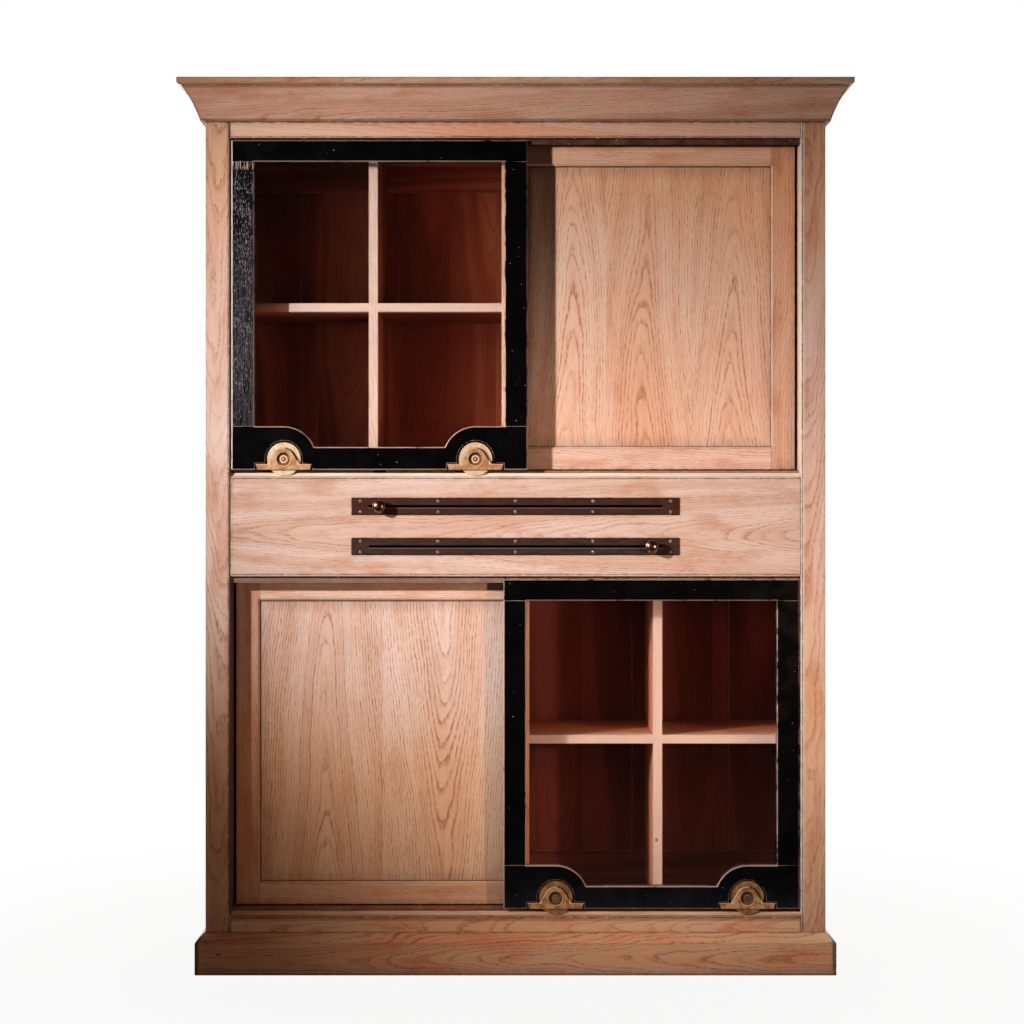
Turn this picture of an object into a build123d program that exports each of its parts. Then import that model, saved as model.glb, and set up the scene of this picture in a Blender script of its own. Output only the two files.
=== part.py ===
from build123d import *
import os
from math import cos, radians, sin

# Mizuya kitchen cabinet: two tiers, each with a black glazed door that rolls in front of a plain
# oak door. Each glazed door is moved by a knob that runs in a slotted strap on the middle fascia.
#
# Millimetres, +Z up, the front faces -Y. The origin is the middle of the footprint, on the floor.
# A depth is measured back from the front faces of the posts, a height up from the floor.

os.makedirs("parts", exist_ok=True)

# ---------------------------------------------------------------- driving dimensions

# Case
case_width = 1390.0
case_depth = 450.0
post_width = 56.0
post_ease = 1.5
rear_post_depth = 56.0
bottom_rail_height = 90.0
bottom_rail_reveal = 37.0
fascia_height = 225.0
top_rail_reveal = 38.0

# Bead worked on the arrises round both openings
bead_width = 5.0
bead_quirk = 1.6
bead_radius = 3.0

# Plinth
plinth_height = 93.0
plinth_face_height = 71.0
plinth_projection = 21.5
plinth_swell = 1.2

# Cornice and top board
cornice_height = 76.0
cornice_foot = 10.0
cornice_head = 48.0
cornice_hollow = 3.0
top_board_thickness = 15.0
top_board_overhang = 57.0
top_board_round = 6.0
top_board_ease = 2.0

# Glazed doors
door_height = 739.0
door_thickness = 28.0
door_side_gap = 2.0
door_lap = 27.0
upper_head_gap = 3.0
lower_head_gap = 6.0
door_lift = 7.0
door_stile = 51.0
door_top_rail = 48.0
door_low_rail = 51.0
door_ease = 2.0
shoulder_radius = 73.5
glass_thickness = 4.0
glass_bite = 8.0
glass_clearance = 0.3

# Tongues that guide the heads of all four doors
guide_tongue = 8.0
guide_engagement = 8.0
guide_spare_depth = 4.0
guide_clearance = 0.3

# Rollers and their brass brackets
hub_inset = 117.0
hub_height = 24.0
track_height = 7.5
track_base = 14.0
track_crown = 2.0
roller_width = 18.0
roller_flange = 6.8
roller_seat_clearance = 0.3
roller_flank_clearance = 0.6
roller_side_clearance = 1.0
axle_radius = 5.0
axle_running_clearance = 0.05
axle_wall_clearance = 0.2
bracket_seat = 3.0
bracket_proud = 0.5
bracket_radius = 26.0
bracket_flank_angle = 29.5
bracket_wing_half = 63.0
bracket_wing_height = 13.0
bracket_wing_slant = 4.0
bracket_heel_radius = 5.0
bracket_chamfer = 0.7
cup_radius = 15.5
cup_wall = 1.8
cup_floor = 1.5
cup_lip = 0.8
cup_clearance = 0.8
hub_radius = 9.0
hub_recess = 0.5
rivet_dimple_radius = 5.6
rivet_dimple_depth = 1.6
pocket_radius = 42.0
wing_slot_height = 15.5
wing_slot_clearance = 2.0

# Slotted straps, knobs and the arms that join the knobs to the doors
strap_height = 38.0
strap_thickness = 2.2
strap_inset = 67.5
strap_slot_height = 6.4
strap_slot_margin = 22.0
strap_end_land = 37.5
strap_ease = 0.5
fascia_slot_height = 10.0
fascia_slot_extra = 2.0
stem_radius = 2.8
rivet_radius = 2.4
rivet_clearance = 0.1
rivet_head_radius = 4.5
rivet_head_height = 1.3
knob_radius = 14.5
knob_length = 28.0
knob_face_radius = 12.0
knob_crown = 1.5
knob_rim = 10.0
knob_neck_radius = 6.0
knob_gap = 0.5
arm_width = 26.0
arm_thickness = 4.0
arm_gap = 2.0
arm_clearance = 4.0
arm_foot = 36.0
arm_foot_inset = 8.0

# Oak doors
leaf_shortfall = 5.0
leaf_thickness = 24.0
leaf_side_gap = 6.0
leaf_lap = 31.0
leaf_stile = 54.0
leaf_top_rail = 46.0
leaf_low_rail = 52.0
leaf_bevel = 4.0
leaf_ease = 1.5
leaf_offset = 1.0
leaf_panel_thickness = 10.0
leaf_panel_bite = 8.0
leaf_panel_clearance = 0.3
runner_width = 6.0
runner_groove_depth = 7.0
runner_clearance = 0.5
runner_seat = 0.3

# Sills and lintels behind the front rails
sill_height = 50.0
sill_nosing = 16.0
sill_gap = 2.5
lintel_height = 38.0
interior_gap = 10.0

# Interior and back
board_thickness = 19.0
divider_thickness = 20.0
centre_post_width = 55.0
centre_post_depth = 25.0
shelf_clear_height = 363.0
side_rail_thickness = 24.0
side_rail_reveal = 2.0
side_shelf_rail = 60.0
side_panel_thickness = 10.0
back_frame_thickness = 22.0
back_panel_thickness = 8.0
back_rail_reveal = 63.0
back_stile_width = 96.0
back_plank_width = 236.0
back_seam = 2.0

# ---------------------------------------------------------------- worked-out places

half_case = case_width / 2
opening_width = case_width - 2 * post_width
half_opening = opening_width / 2
front = (top_board_overhang - case_depth) / 2
rear = front + case_depth

# Heights of the two tiers
lower_rail_top = plinth_height + bottom_rail_reveal
lower_door_bottom = lower_rail_top + track_height + door_lift
lower_door_top = lower_door_bottom + door_height
fascia_bottom = lower_door_top + lower_head_gap
fascia_top = fascia_bottom + fascia_height
upper_door_bottom = fascia_top + track_height + door_lift
upper_door_top = upper_door_bottom + door_height
top_rail_bottom = upper_door_top + upper_head_gap
cornice_bottom = top_rail_bottom + top_rail_reveal
case_top = cornice_bottom + cornice_height
bottom_rail_bottom = lower_rail_top - bottom_rail_height

# Depths of the layers behind the posts' front faces
door_middle = door_thickness / 2
rail_thickness = door_thickness - arm_gap
sill_front = door_thickness + arm_thickness + arm_clearance
leaf_front = sill_front + sill_nosing
leaf_middle = leaf_front + leaf_thickness / 2
interior_front = leaf_front + leaf_thickness + interior_gap
interior_back = case_depth - back_frame_thickness
interior_depth = interior_back - interior_front
post_depth = interior_front
rear_post_front = case_depth - rear_post_depth

# Doors
door_width = half_opening - door_side_gap + door_lap
door_travel = opening_width - 2 * door_side_gap - door_width
door_centre = half_opening - door_side_gap - door_width / 2
leaf_width = half_opening - leaf_side_gap + leaf_lap
leaf_height = door_height - leaf_shortfall
leaf_centre = half_opening - leaf_side_gap - leaf_width / 2
hub_offset = door_width / 2 - hub_inset
shoulder_height = hub_height + shoulder_radius
guide_groove = guide_tongue + 2 * guide_clearance
guide_groove_depth = guide_engagement + guide_spare_depth
roller_seat_radius = hub_height + door_lift - roller_seat_clearance
roller_radius = roller_seat_radius + roller_flange

# Sills and runners
leaf_rise = track_height + door_lift + leaf_offset
sill_rise = leaf_rise - sill_gap
upper_sill_top = fascia_top + sill_rise
lower_sill_top = lower_rail_top + sill_rise
runner_height = sill_gap + runner_groove_depth - runner_seat
lower_leaf_bottom = lower_rail_top + leaf_rise
upper_leaf_bottom = fascia_top + leaf_rise

# Straps
upper_strap_height = fascia_top - strap_inset
lower_strap_height = fascia_bottom + strap_inset
strap_slot_length = door_travel + 2 * (stem_radius + strap_slot_margin)
strap_length = strap_slot_length + 2 * strap_end_land

# Interior: the clear widths from centre divider to outer divider to post are equal
divider_pitch = (half_opening + divider_thickness / 2) / 2
wall_face = half_case - side_rail_reveal - side_rail_thickness
lower_shelf_top = lower_sill_top + shelf_clear_height + board_thickness
upper_shelf_top = upper_sill_top + shelf_clear_height + board_thickness


def at_depth(depth):
    """A plane parallel to the front whose normal faces forward."""
    return Plane.XZ.offset(-(front + depth))


def save(piece, label):
    piece.part.label = label
    export_step(piece.part, f"parts/{label}.step")


# ---------------------------------------------------------------- posts, rails and tracks


def front_post(label, side):
    """A front post, beaded on its inner arris. side is -1 on the left and 1 on the right."""
    inner = side * half_opening
    with BuildPart() as post:
        with BuildSketch():
            with Locations((side * (half_case - post_width / 2), front + post_depth / 2)):
                Rectangle(post_width, post_depth)
            with Locations((inner + side * bead_width, front)):
                Rectangle(bead_quirk, bead_quirk, rotation=45, mode=Mode.SUBTRACT)
        extrude(amount=case_top)
        uprights = post.edges().filter_by(Axis.Z)
        fillet(uprights.sort_by_distance((inner, front, case_top / 2))[0], bead_radius)
        uprights = post.edges().filter_by(Axis.Z)
        outer = side * half_case
        fillet(uprights.sort_by_distance((outer, front, case_top / 2))[0], post_ease)
    save(post, label)


def rear_posts():
    with BuildPart() as posts:
        with BuildSketch():
            for side in (-1, 1):
                with Locations((side * (half_case - post_width / 2), rear - rear_post_depth / 2)):
                    Rectangle(post_width, rear_post_depth)
        extrude(amount=case_top)
    save(posts, "rear_posts")


def front_rail(label, low, high, beads, head_gap=None, slots=()):
    """A rail between the front posts.

    beads are pairs of an arris height and the way from it into the rail, head_gap is the space over
    the door that runs under the rail, and slots are the heights of the knob slots through it.
    """
    with BuildPart() as rail:
        with BuildSketch(Plane.YZ.offset(-half_opening)):
            with Locations((front + rail_thickness / 2, (low + high) / 2)):
                Rectangle(rail_thickness, high - low)
            for arris, inward in beads:
                with Locations((front, arris + inward * bead_width)):
                    Rectangle(bead_quirk, bead_quirk, rotation=45, mode=Mode.SUBTRACT)
            if head_gap is not None:
                drop = head_gap + guide_engagement
                with Locations((front + door_middle, low - drop / 2)):
                    Rectangle(guide_tongue, drop)
        extrude(amount=opening_width)
        for arris, inward in beads:
            lengths = rail.edges().filter_by(Axis.X)
            fillet(lengths.sort_by_distance((0, front, arris))[0], bead_radius)
        for height in slots:
            with BuildSketch(at_depth(rail_thickness)):
                with Locations((0, height)):
                    SlotOverall(strap_slot_length + fascia_slot_extra, fascia_slot_height)
            extrude(amount=rail_thickness, mode=Mode.SUBTRACT)
    save(rail, label)


def track(label, seat):
    """The ridge on which the grooved rollers run."""
    middle = front + door_middle
    with BuildPart() as ridge:
        with BuildSketch(Plane.YZ.offset(-half_opening)):
            with BuildLine():
                Polyline(
                    (middle - track_base / 2, seat),
                    (middle + track_base / 2, seat),
                    (middle + track_crown / 2, seat + track_height),
                    (middle - track_crown / 2, seat + track_height),
                    close=True,
                )
            make_face()
        extrude(amount=opening_width)
    save(ridge, label)


def sill(label, top):
    """The inner sill of a tier, with the runner that carries the oak door."""
    width = interior_front - sill_front
    with BuildPart() as beam:
        with BuildSketch(Plane.YZ.offset(-half_opening)):
            with Locations((front + sill_front + width / 2, top - sill_height / 2)):
                Rectangle(width, sill_height)
            with Locations((front + leaf_middle, top + runner_height / 2)):
                Rectangle(runner_width, runner_height)
        extrude(amount=opening_width)
        nosing = beam.edges().filter_by(Axis.X)
        fillet(nosing.sort_by_distance((0, front + sill_front, top))[0], leaf_ease)
    save(beam, label)


def lintel(label, bottom, leaf_top):
    """The inner lintel of a tier, with the tongue that guides the oak door's head."""
    width = interior_front - sill_front
    drop = bottom - leaf_top + guide_engagement
    with BuildPart() as beam:
        with BuildSketch(Plane.YZ.offset(-half_opening)):
            with Locations((front + sill_front + width / 2, bottom + lintel_height / 2)):
                Rectangle(width, lintel_height)
            with Locations((front + leaf_middle, bottom - drop / 2)):
                Rectangle(guide_tongue, drop)
        extrude(amount=opening_width)
    save(beam, label)


front_post("left_front_post", -1)
front_post("right_front_post", 1)
rear_posts()
front_rail("bottom_rail", bottom_rail_bottom, lower_rail_top, [(lower_rail_top, -1)])
front_rail(
    "middle_fascia",
    fascia_bottom,
    fascia_top,
    [(fascia_bottom, 1), (fascia_top, -1)],
    head_gap=lower_head_gap,
    slots=(lower_strap_height, upper_strap_height),
)
front_rail(
    "top_rail", top_rail_bottom, case_top, [(top_rail_bottom, 1)], head_gap=upper_head_gap
)
track("lower_track", lower_rail_top)
track("upper_track", fascia_top)
sill("lower_sill", lower_sill_top)
sill("upper_sill", upper_sill_top)
lintel("lower_lintel", fascia_bottom, lower_leaf_bottom + leaf_height)
lintel("upper_lintel", top_rail_bottom, upper_leaf_bottom + leaf_height)

# ---------------------------------------------------------------- plinth, cornice and top board


def plinth_profile():
    """The plinth's section: x is the projection from the case, y the height."""
    with BuildSketch() as section:
        with BuildLine():
            shoulder = (plinth_projection, plinth_face_height)
            crest = (0, plinth_height)
            middle = (plinth_projection / 2, (plinth_face_height + plinth_height) / 2)
            Line(crest, (0, 0))
            Line((0, 0), (plinth_projection, 0))
            Line((plinth_projection, 0), shoulder)
            ThreePointArc(shoulder, (middle[0] + plinth_swell, middle[1] + plinth_swell), crest)
        make_face()
    return section.sketch


def cornice_profile():
    """The cornice's section: x is the projection from the case, y the height."""
    with BuildSketch() as section:
        with BuildLine():
            foot = (cornice_foot, cornice_bottom)
            head = (cornice_head, case_top)
            middle = ((cornice_foot + cornice_head) / 2, (cornice_bottom + case_top) / 2)
            Line((0, case_top), (0, cornice_bottom))
            Line((0, cornice_bottom), foot)
            ThreePointArc(foot, (middle[0] - cornice_hollow, middle[1] + cornice_hollow / 2), head)
            Line(head, (0, case_top))
        make_face()
    return section.sketch


def mitre(side):
    """The upright plane through a front corner of the case, at 45 degrees."""
    return Plane(origin=(side * half_case, front, 0), z_dir=(side, 1, 0))


def front_moulding(label, section):
    """A moulding along the front, mitred at both ends."""
    reach = half_case + top_board_overhang
    with BuildPart() as moulding:
        with BuildSketch(Plane(origin=(reach, front, 0), x_dir=(0, -1, 0), z_dir=(-1, 0, 0))):
            add(section)
        extrude(amount=2 * reach)
        split(bisect_by=mitre(-1), keep=Keep.BOTTOM)
        split(bisect_by=mitre(1), keep=Keep.BOTTOM)
    save(moulding, label)


def side_moulding(label, section, side):
    """A moulding along one side, mitred at the front and square at the back."""
    start = rear if side > 0 else front - top_board_overhang
    with BuildPart() as moulding:
        with BuildSketch(
            Plane(origin=(side * half_case, start, 0), x_dir=(side, 0, 0), z_dir=(0, -side, 0))
        ):
            add(section)
        extrude(amount=case_depth + top_board_overhang)
        split(bisect_by=mitre(side), keep=Keep.TOP)
    save(moulding, label)


front_moulding("plinth_front", plinth_profile())
side_moulding("plinth_left", plinth_profile(), -1)
side_moulding("plinth_right", plinth_profile(), 1)
front_moulding("cornice_front", cornice_profile())
side_moulding("cornice_left", cornice_profile(), -1)
side_moulding("cornice_right", cornice_profile(), 1)

with BuildPart() as top_board:
    with BuildSketch(Plane.XY.offset(case_top)):
        Rectangle(case_width + 2 * top_board_overhang, case_depth + top_board_overhang)
    extrude(amount=top_board_thickness)
    lower_edges = top_board.faces().sort_by(Axis.Z)[0].edges().sort_by(Axis.Y)[:-1]
    fillet(lower_edges, top_board_round)
    upper_edges = top_board.faces().sort_by(Axis.Z)[-1].edges()
    fillet(upper_edges, top_board_ease)
save(top_board, "top_board")

# ---------------------------------------------------------------- sides, back and interior

side_rail_spans = [
    (bottom_rail_bottom, lower_sill_top),
    (lower_shelf_top - side_shelf_rail, lower_shelf_top),
    (fascia_bottom, upper_sill_top),
    (upper_shelf_top - side_shelf_rail, upper_shelf_top),
    (top_rail_bottom, case_top),
]
side_panel_spans = [
    (below[1], above[0]) for below, above in zip(side_rail_spans[:-1], side_rail_spans[1:])
]


def side_layer(label, spans, outer_face, thickness):
    """Boards between the front and rear posts of both sides, one for each span of heights."""
    depth = rear_post_front - post_depth
    with BuildPart() as boards:
        for side in (-1, 1):
            low_x = side * (outer_face - thickness / 2) - thickness / 2
            with BuildSketch(Plane.YZ.offset(low_x)):
                for low, high in spans:
                    with Locations((front + post_depth + depth / 2, (low + high) / 2)):
                        Rectangle(depth, high - low)
            extrude(amount=thickness)
    save(boards, label)


def tier_board(label, bottom):
    """A floor or ceiling board from wall to wall, notched round the rear posts."""
    with BuildPart() as board:
        with BuildSketch(Plane.XY.offset(bottom)):
            with Locations((0, front + interior_front + interior_depth / 2)):
                Rectangle(2 * wall_face, interior_depth)
            for side in (-1, 1):
                with Locations((side * half_case, rear)):
                    Rectangle(2 * post_width, 2 * rear_post_depth, mode=Mode.SUBTRACT)
        extrude(amount=board_thickness)
    save(board, label)


def dividers(label, low, high):
    """The three dividers of a tier. The middle one stands behind the centre post."""
    with BuildPart() as uprights:
        with BuildSketch(Plane.XY.offset(low)):
            for x in (-divider_pitch, 0, divider_pitch):
                with Locations((x, front + interior_front + interior_depth / 2)):
                    Rectangle(divider_thickness, interior_depth)
            with Locations((0, front + interior_front + centre_post_depth / 2)):
                Rectangle(centre_post_width, centre_post_depth, mode=Mode.SUBTRACT)
        extrude(amount=high - low)
    save(uprights, label)


def centre_posts(spans):
    with BuildPart() as posts:
        for low, high in spans:
            with BuildSketch(Plane.XY.offset(low)):
                with Locations((0, front + interior_front + centre_post_depth / 2)):
                    Rectangle(centre_post_width, centre_post_depth)
            extrude(amount=high - low)
    save(posts, "centre_posts")


def shelves(label, top):
    """The four shelf boards of a tier, housed between the dividers and the sides."""
    inner_width = divider_pitch - divider_thickness
    outer_start = divider_pitch + divider_thickness / 2
    outer_width = wall_face - outer_start
    middle = front + interior_front + interior_depth / 2
    with BuildPart() as boards:
        with BuildSketch(Plane.XY.offset(top - board_thickness)):
            for side in (-1, 1):
                with Locations((side * divider_pitch / 2, middle)):
                    Rectangle(inner_width, interior_depth)
                with Locations((side * (outer_start + outer_width / 2), middle)):
                    Rectangle(outer_width, interior_depth)
                with Locations((side * half_case, rear)):
                    Rectangle(2 * post_width, 2 * rear_post_depth, mode=Mode.SUBTRACT)
            with Locations((0, front + interior_front)):
                Rectangle(centre_post_width, 2 * centre_post_depth, mode=Mode.SUBTRACT)
        extrude(amount=board_thickness)
    save(boards, label)


side_layer("side_rails", side_rail_spans, half_case - side_rail_reveal, side_rail_thickness)
side_panel_face = half_case - side_rail_reveal - (side_rail_thickness - side_panel_thickness) / 2
side_layer("side_panels", side_panel_spans, side_panel_face, side_panel_thickness)

tier_board("lower_floor", lower_sill_top - board_thickness)
tier_board("lower_ceiling", fascia_bottom)
tier_board("upper_floor", upper_sill_top - board_thickness)
tier_board("upper_ceiling", top_rail_bottom)
dividers("lower_dividers", lower_sill_top, fascia_bottom)
dividers("upper_dividers", upper_sill_top, top_rail_bottom)
centre_posts([(lower_sill_top, fascia_bottom), (upper_sill_top, top_rail_bottom)])
shelves("lower_shelves", lower_shelf_top)
shelves("upper_shelves", upper_shelf_top)

back_rail_spans = [
    (bottom_rail_bottom, lower_sill_top + back_rail_reveal),
    (fascia_bottom - back_rail_reveal, upper_sill_top + back_rail_reveal),
    (top_rail_bottom - back_rail_reveal, case_top),
]
back_panel_spans = [
    (below[1], above[0]) for below, above in zip(back_rail_spans[:-1], back_rail_spans[1:])
]

with BuildPart() as back_frame:
    with BuildSketch(at_depth(case_depth)):
        for low, high in back_rail_spans:
            with Locations((0, (low + high) / 2)):
                Rectangle(opening_width, high - low)
        for low, high in back_panel_spans:
            with Locations((0, (low + high) / 2)):
                Rectangle(back_stile_width, high - low)
    extrude(amount=back_frame_thickness)
save(back_frame, "back_frame")

with BuildPart() as back_panels:
    panel_width = half_opening - back_stile_width / 2
    panel_back = case_depth - (back_frame_thickness - back_panel_thickness) / 2
    with BuildSketch(at_depth(panel_back)):
        for low, high in back_panel_spans:
            for side in (-1, 1):
                with Locations((side * (half_opening - panel_width / 2), (low + high) / 2)):
                    Rectangle(panel_width, high - low)
    extrude(amount=back_panel_thickness)
    # V seams between the planks
    seam_y = front + panel_back - back_panel_thickness
    with BuildSketch():
        for side in (-1, 1):
            for count in (1, 2):
                with Locations(
                    (side * (back_stile_width / 2 + count * back_plank_width), seam_y)
                ):
                    Rectangle(back_seam, back_seam, rotation=45)
    extrude(amount=case_top, mode=Mode.SUBTRACT)
save(back_panels, "back_panels")

# ---------------------------------------------------------------- slotted straps


def slotted_strap(label, height):
    with BuildPart() as strap:
        with BuildSketch(at_depth(0)):
            with Locations((0, height)):
                Rectangle(strap_length, strap_height)
        extrude(amount=strap_thickness)
        chamfer(strap.faces().sort_by(Axis.Y)[0].edges(), strap_ease)
        with BuildSketch(at_depth(0)):
            with Locations((0, height)):
                SlotOverall(strap_slot_length, strap_slot_height)
        extrude(amount=strap_thickness, mode=Mode.SUBTRACT)
    save(strap, label)


slotted_strap("lower_slotted_strap", lower_strap_height)
slotted_strap("upper_slotted_strap", upper_strap_height)

# ---------------------------------------------------------------- glazed doors
# A door is drawn about the middle of its bottom edge, with its front face on Y = 0.


def glazed_aperture(grow=0.0):
    """The opening in a glazed door's frame, grown all round."""
    low = door_low_rail - grow
    high = door_height - door_top_rail + grow
    shoulder_top = shoulder_height - grow
    with BuildSketch() as aperture:
        with Locations((0, (low + high) / 2)):
            Rectangle(door_width - 2 * door_stile + 2 * grow, high - low)
        for side in (-1, 1):
            with Locations((side * (hub_offset + hub_inset / 2), shoulder_top / 2)):
                Rectangle(hub_inset, shoulder_top, mode=Mode.SUBTRACT)
            with Locations((side * hub_offset, hub_height)):
                Circle(shoulder_radius - grow, mode=Mode.SUBTRACT)
    return aperture.sketch


with BuildPart() as glazed_frame:
    with BuildSketch(Plane.XZ.offset(-door_thickness)):
        with Locations((0, door_height / 2)):
            Rectangle(door_width, door_height)
        add(glazed_aperture(), mode=Mode.SUBTRACT)
    extrude(amount=door_thickness)
    chamfer(glazed_frame.faces().sort_by(Axis.Y)[0].edges(), door_ease)
    # Groove for the glass
    glass_groove = glass_thickness + 2 * glass_clearance
    with BuildSketch(Plane.XZ.offset(-(door_middle + glass_groove / 2))):
        add(glazed_aperture(glass_bite + glass_clearance))
    extrude(amount=glass_groove, mode=Mode.SUBTRACT)
    # Groove along the head for the guide tongue
    with Locations((0, door_middle, door_height - guide_groove_depth / 2)):
        Box(door_width, guide_groove, guide_groove_depth, mode=Mode.SUBTRACT)
    # Roller pockets, open at the front and below, with the bracket's slot and the axle's hole
    pocket_depth = door_middle + roller_width / 2 + roller_side_clearance
    wing_slot_width = 2 * (bracket_wing_half + wing_slot_clearance)
    for hub_x in (-hub_offset, hub_offset):
        with BuildSketch(Plane.XZ.offset(-pocket_depth)):
            with Locations((hub_x, hub_height)):
                Circle(pocket_radius)
            with Locations((hub_x, 0)):
                Rectangle(2 * pocket_radius, 2 * hub_height)
        extrude(amount=pocket_depth, mode=Mode.SUBTRACT)
        with BuildSketch(Plane.XZ.offset(-bracket_seat)):
            with Locations((hub_x, 0)):
                Rectangle(wing_slot_width, 2 * wing_slot_height)
        extrude(amount=bracket_seat, mode=Mode.SUBTRACT)
        with BuildSketch(Plane.XZ.offset(-door_thickness)):
            with Locations((hub_x, hub_height)):
                Circle(axle_radius + axle_wall_clearance)
        extrude(amount=door_thickness, mode=Mode.SUBTRACT)

# Bracket, cup and axle in one, about the roller's centre with the door's front face on Y = 0
flank_cos = cos(radians(bracket_flank_angle))
flank_sin = sin(radians(bracket_flank_angle))
wing_top = bracket_wing_height - hub_height
flank_foot = (bracket_radius - wing_top * flank_sin) / flank_cos
roller_front = door_middle - roller_width / 2
roller_back = door_middle + roller_width / 2
cup_bottom = roller_front - cup_clearance
cup_depth = cup_bottom - cup_floor
cup_brim = -bracket_proud - cup_lip

with BuildPart() as bracket:
    with BuildSketch(Plane.XZ.offset(-bracket_seat)) as bell:
        Circle(bracket_radius)
        with BuildLine():
            Polyline(
                (-bracket_radius * flank_cos, bracket_radius * flank_sin),
                (-flank_foot, wing_top),
                (flank_foot, wing_top),
                (bracket_radius * flank_cos, bracket_radius * flank_sin),
                close=True,
            )
        make_face()
        with BuildLine():
            Polyline(
                (-bracket_wing_half, wing_top),
                (bracket_wing_half, wing_top),
                (bracket_wing_half - bracket_wing_slant, -hub_height),
                (bracket_wing_slant - bracket_wing_half, -hub_height),
                close=True,
            )
        make_face()
        with Locations((0, -hub_height - bracket_radius)):
            Rectangle(4 * bracket_radius, 2 * bracket_radius, mode=Mode.SUBTRACT)
        heels = [
            bell.vertices().sort_by_distance((x, wing_top))[0] for x in (-flank_foot, flank_foot)
        ]
        fillet(heels, bracket_heel_radius)
    extrude(amount=bracket_seat + bracket_proud)
    chamfer(bracket.faces().sort_by(Axis.Y)[0].edges(), bracket_chamfer)
    with BuildSketch(Plane.XZ.offset(-bracket_seat)):
        Circle(cup_radius)
    extrude(amount=bracket_seat + bracket_proud, mode=Mode.SUBTRACT)
    # The cup, its hub and the riveted axle, as radius and depth
    with BuildSketch():
        with BuildLine():
            Polyline(
                (0, rivet_dimple_depth),
                (rivet_dimple_radius, rivet_dimple_depth),
                (rivet_dimple_radius, hub_recess),
                (hub_radius, hub_recess),
                (hub_radius, cup_depth),
                (cup_radius, cup_depth),
                (cup_radius, cup_brim),
                (cup_radius + cup_wall, cup_brim),
                (cup_radius + cup_wall, cup_bottom),
                (axle_radius, cup_bottom),
                (axle_radius, door_thickness),
                (0, door_thickness),
                close=True,
            )
        make_face()
    revolve(axis=Axis.Y)

# Roller about its own centre line, with the door's front face on Y = 0, as radius and depth
groove_slope = (track_base - track_crown) / 2 / track_height
groove_foot = track_crown / 2 + roller_flank_clearance - roller_seat_clearance * groove_slope
groove_mouth = groove_foot + roller_flange * groove_slope
roller_bore = axle_radius + axle_running_clearance

with BuildPart() as roller:
    with BuildSketch():
        with BuildLine():
            Polyline(
                (roller_bore, roller_front),
                (roller_radius, roller_front),
                (roller_radius, door_middle - groove_mouth),
                (roller_seat_radius, door_middle - groove_foot),
                (roller_seat_radius, door_middle + groove_foot),
                (roller_radius, door_middle + groove_mouth),
                (roller_radius, roller_back),
                (roller_bore, roller_back),
                close=True,
            )
        make_face()
    revolve(axis=Axis.Y)


def glazed_frame_member(label, place, low_x, high_x, low_z, high_z):
    """The part of the glazed frame that lies within a rectangle of the door."""
    with BuildPart() as member:
        add(glazed_frame.part)
        with Locations(((low_x + high_x) / 2, door_middle, (low_z + high_z) / 2)):
            Box(high_x - low_x, door_thickness, high_z - low_z, mode=Mode.INTERSECT)
    with BuildPart() as placed:
        with Locations(place):
            add(member.part)
    save(placed, label)


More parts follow.
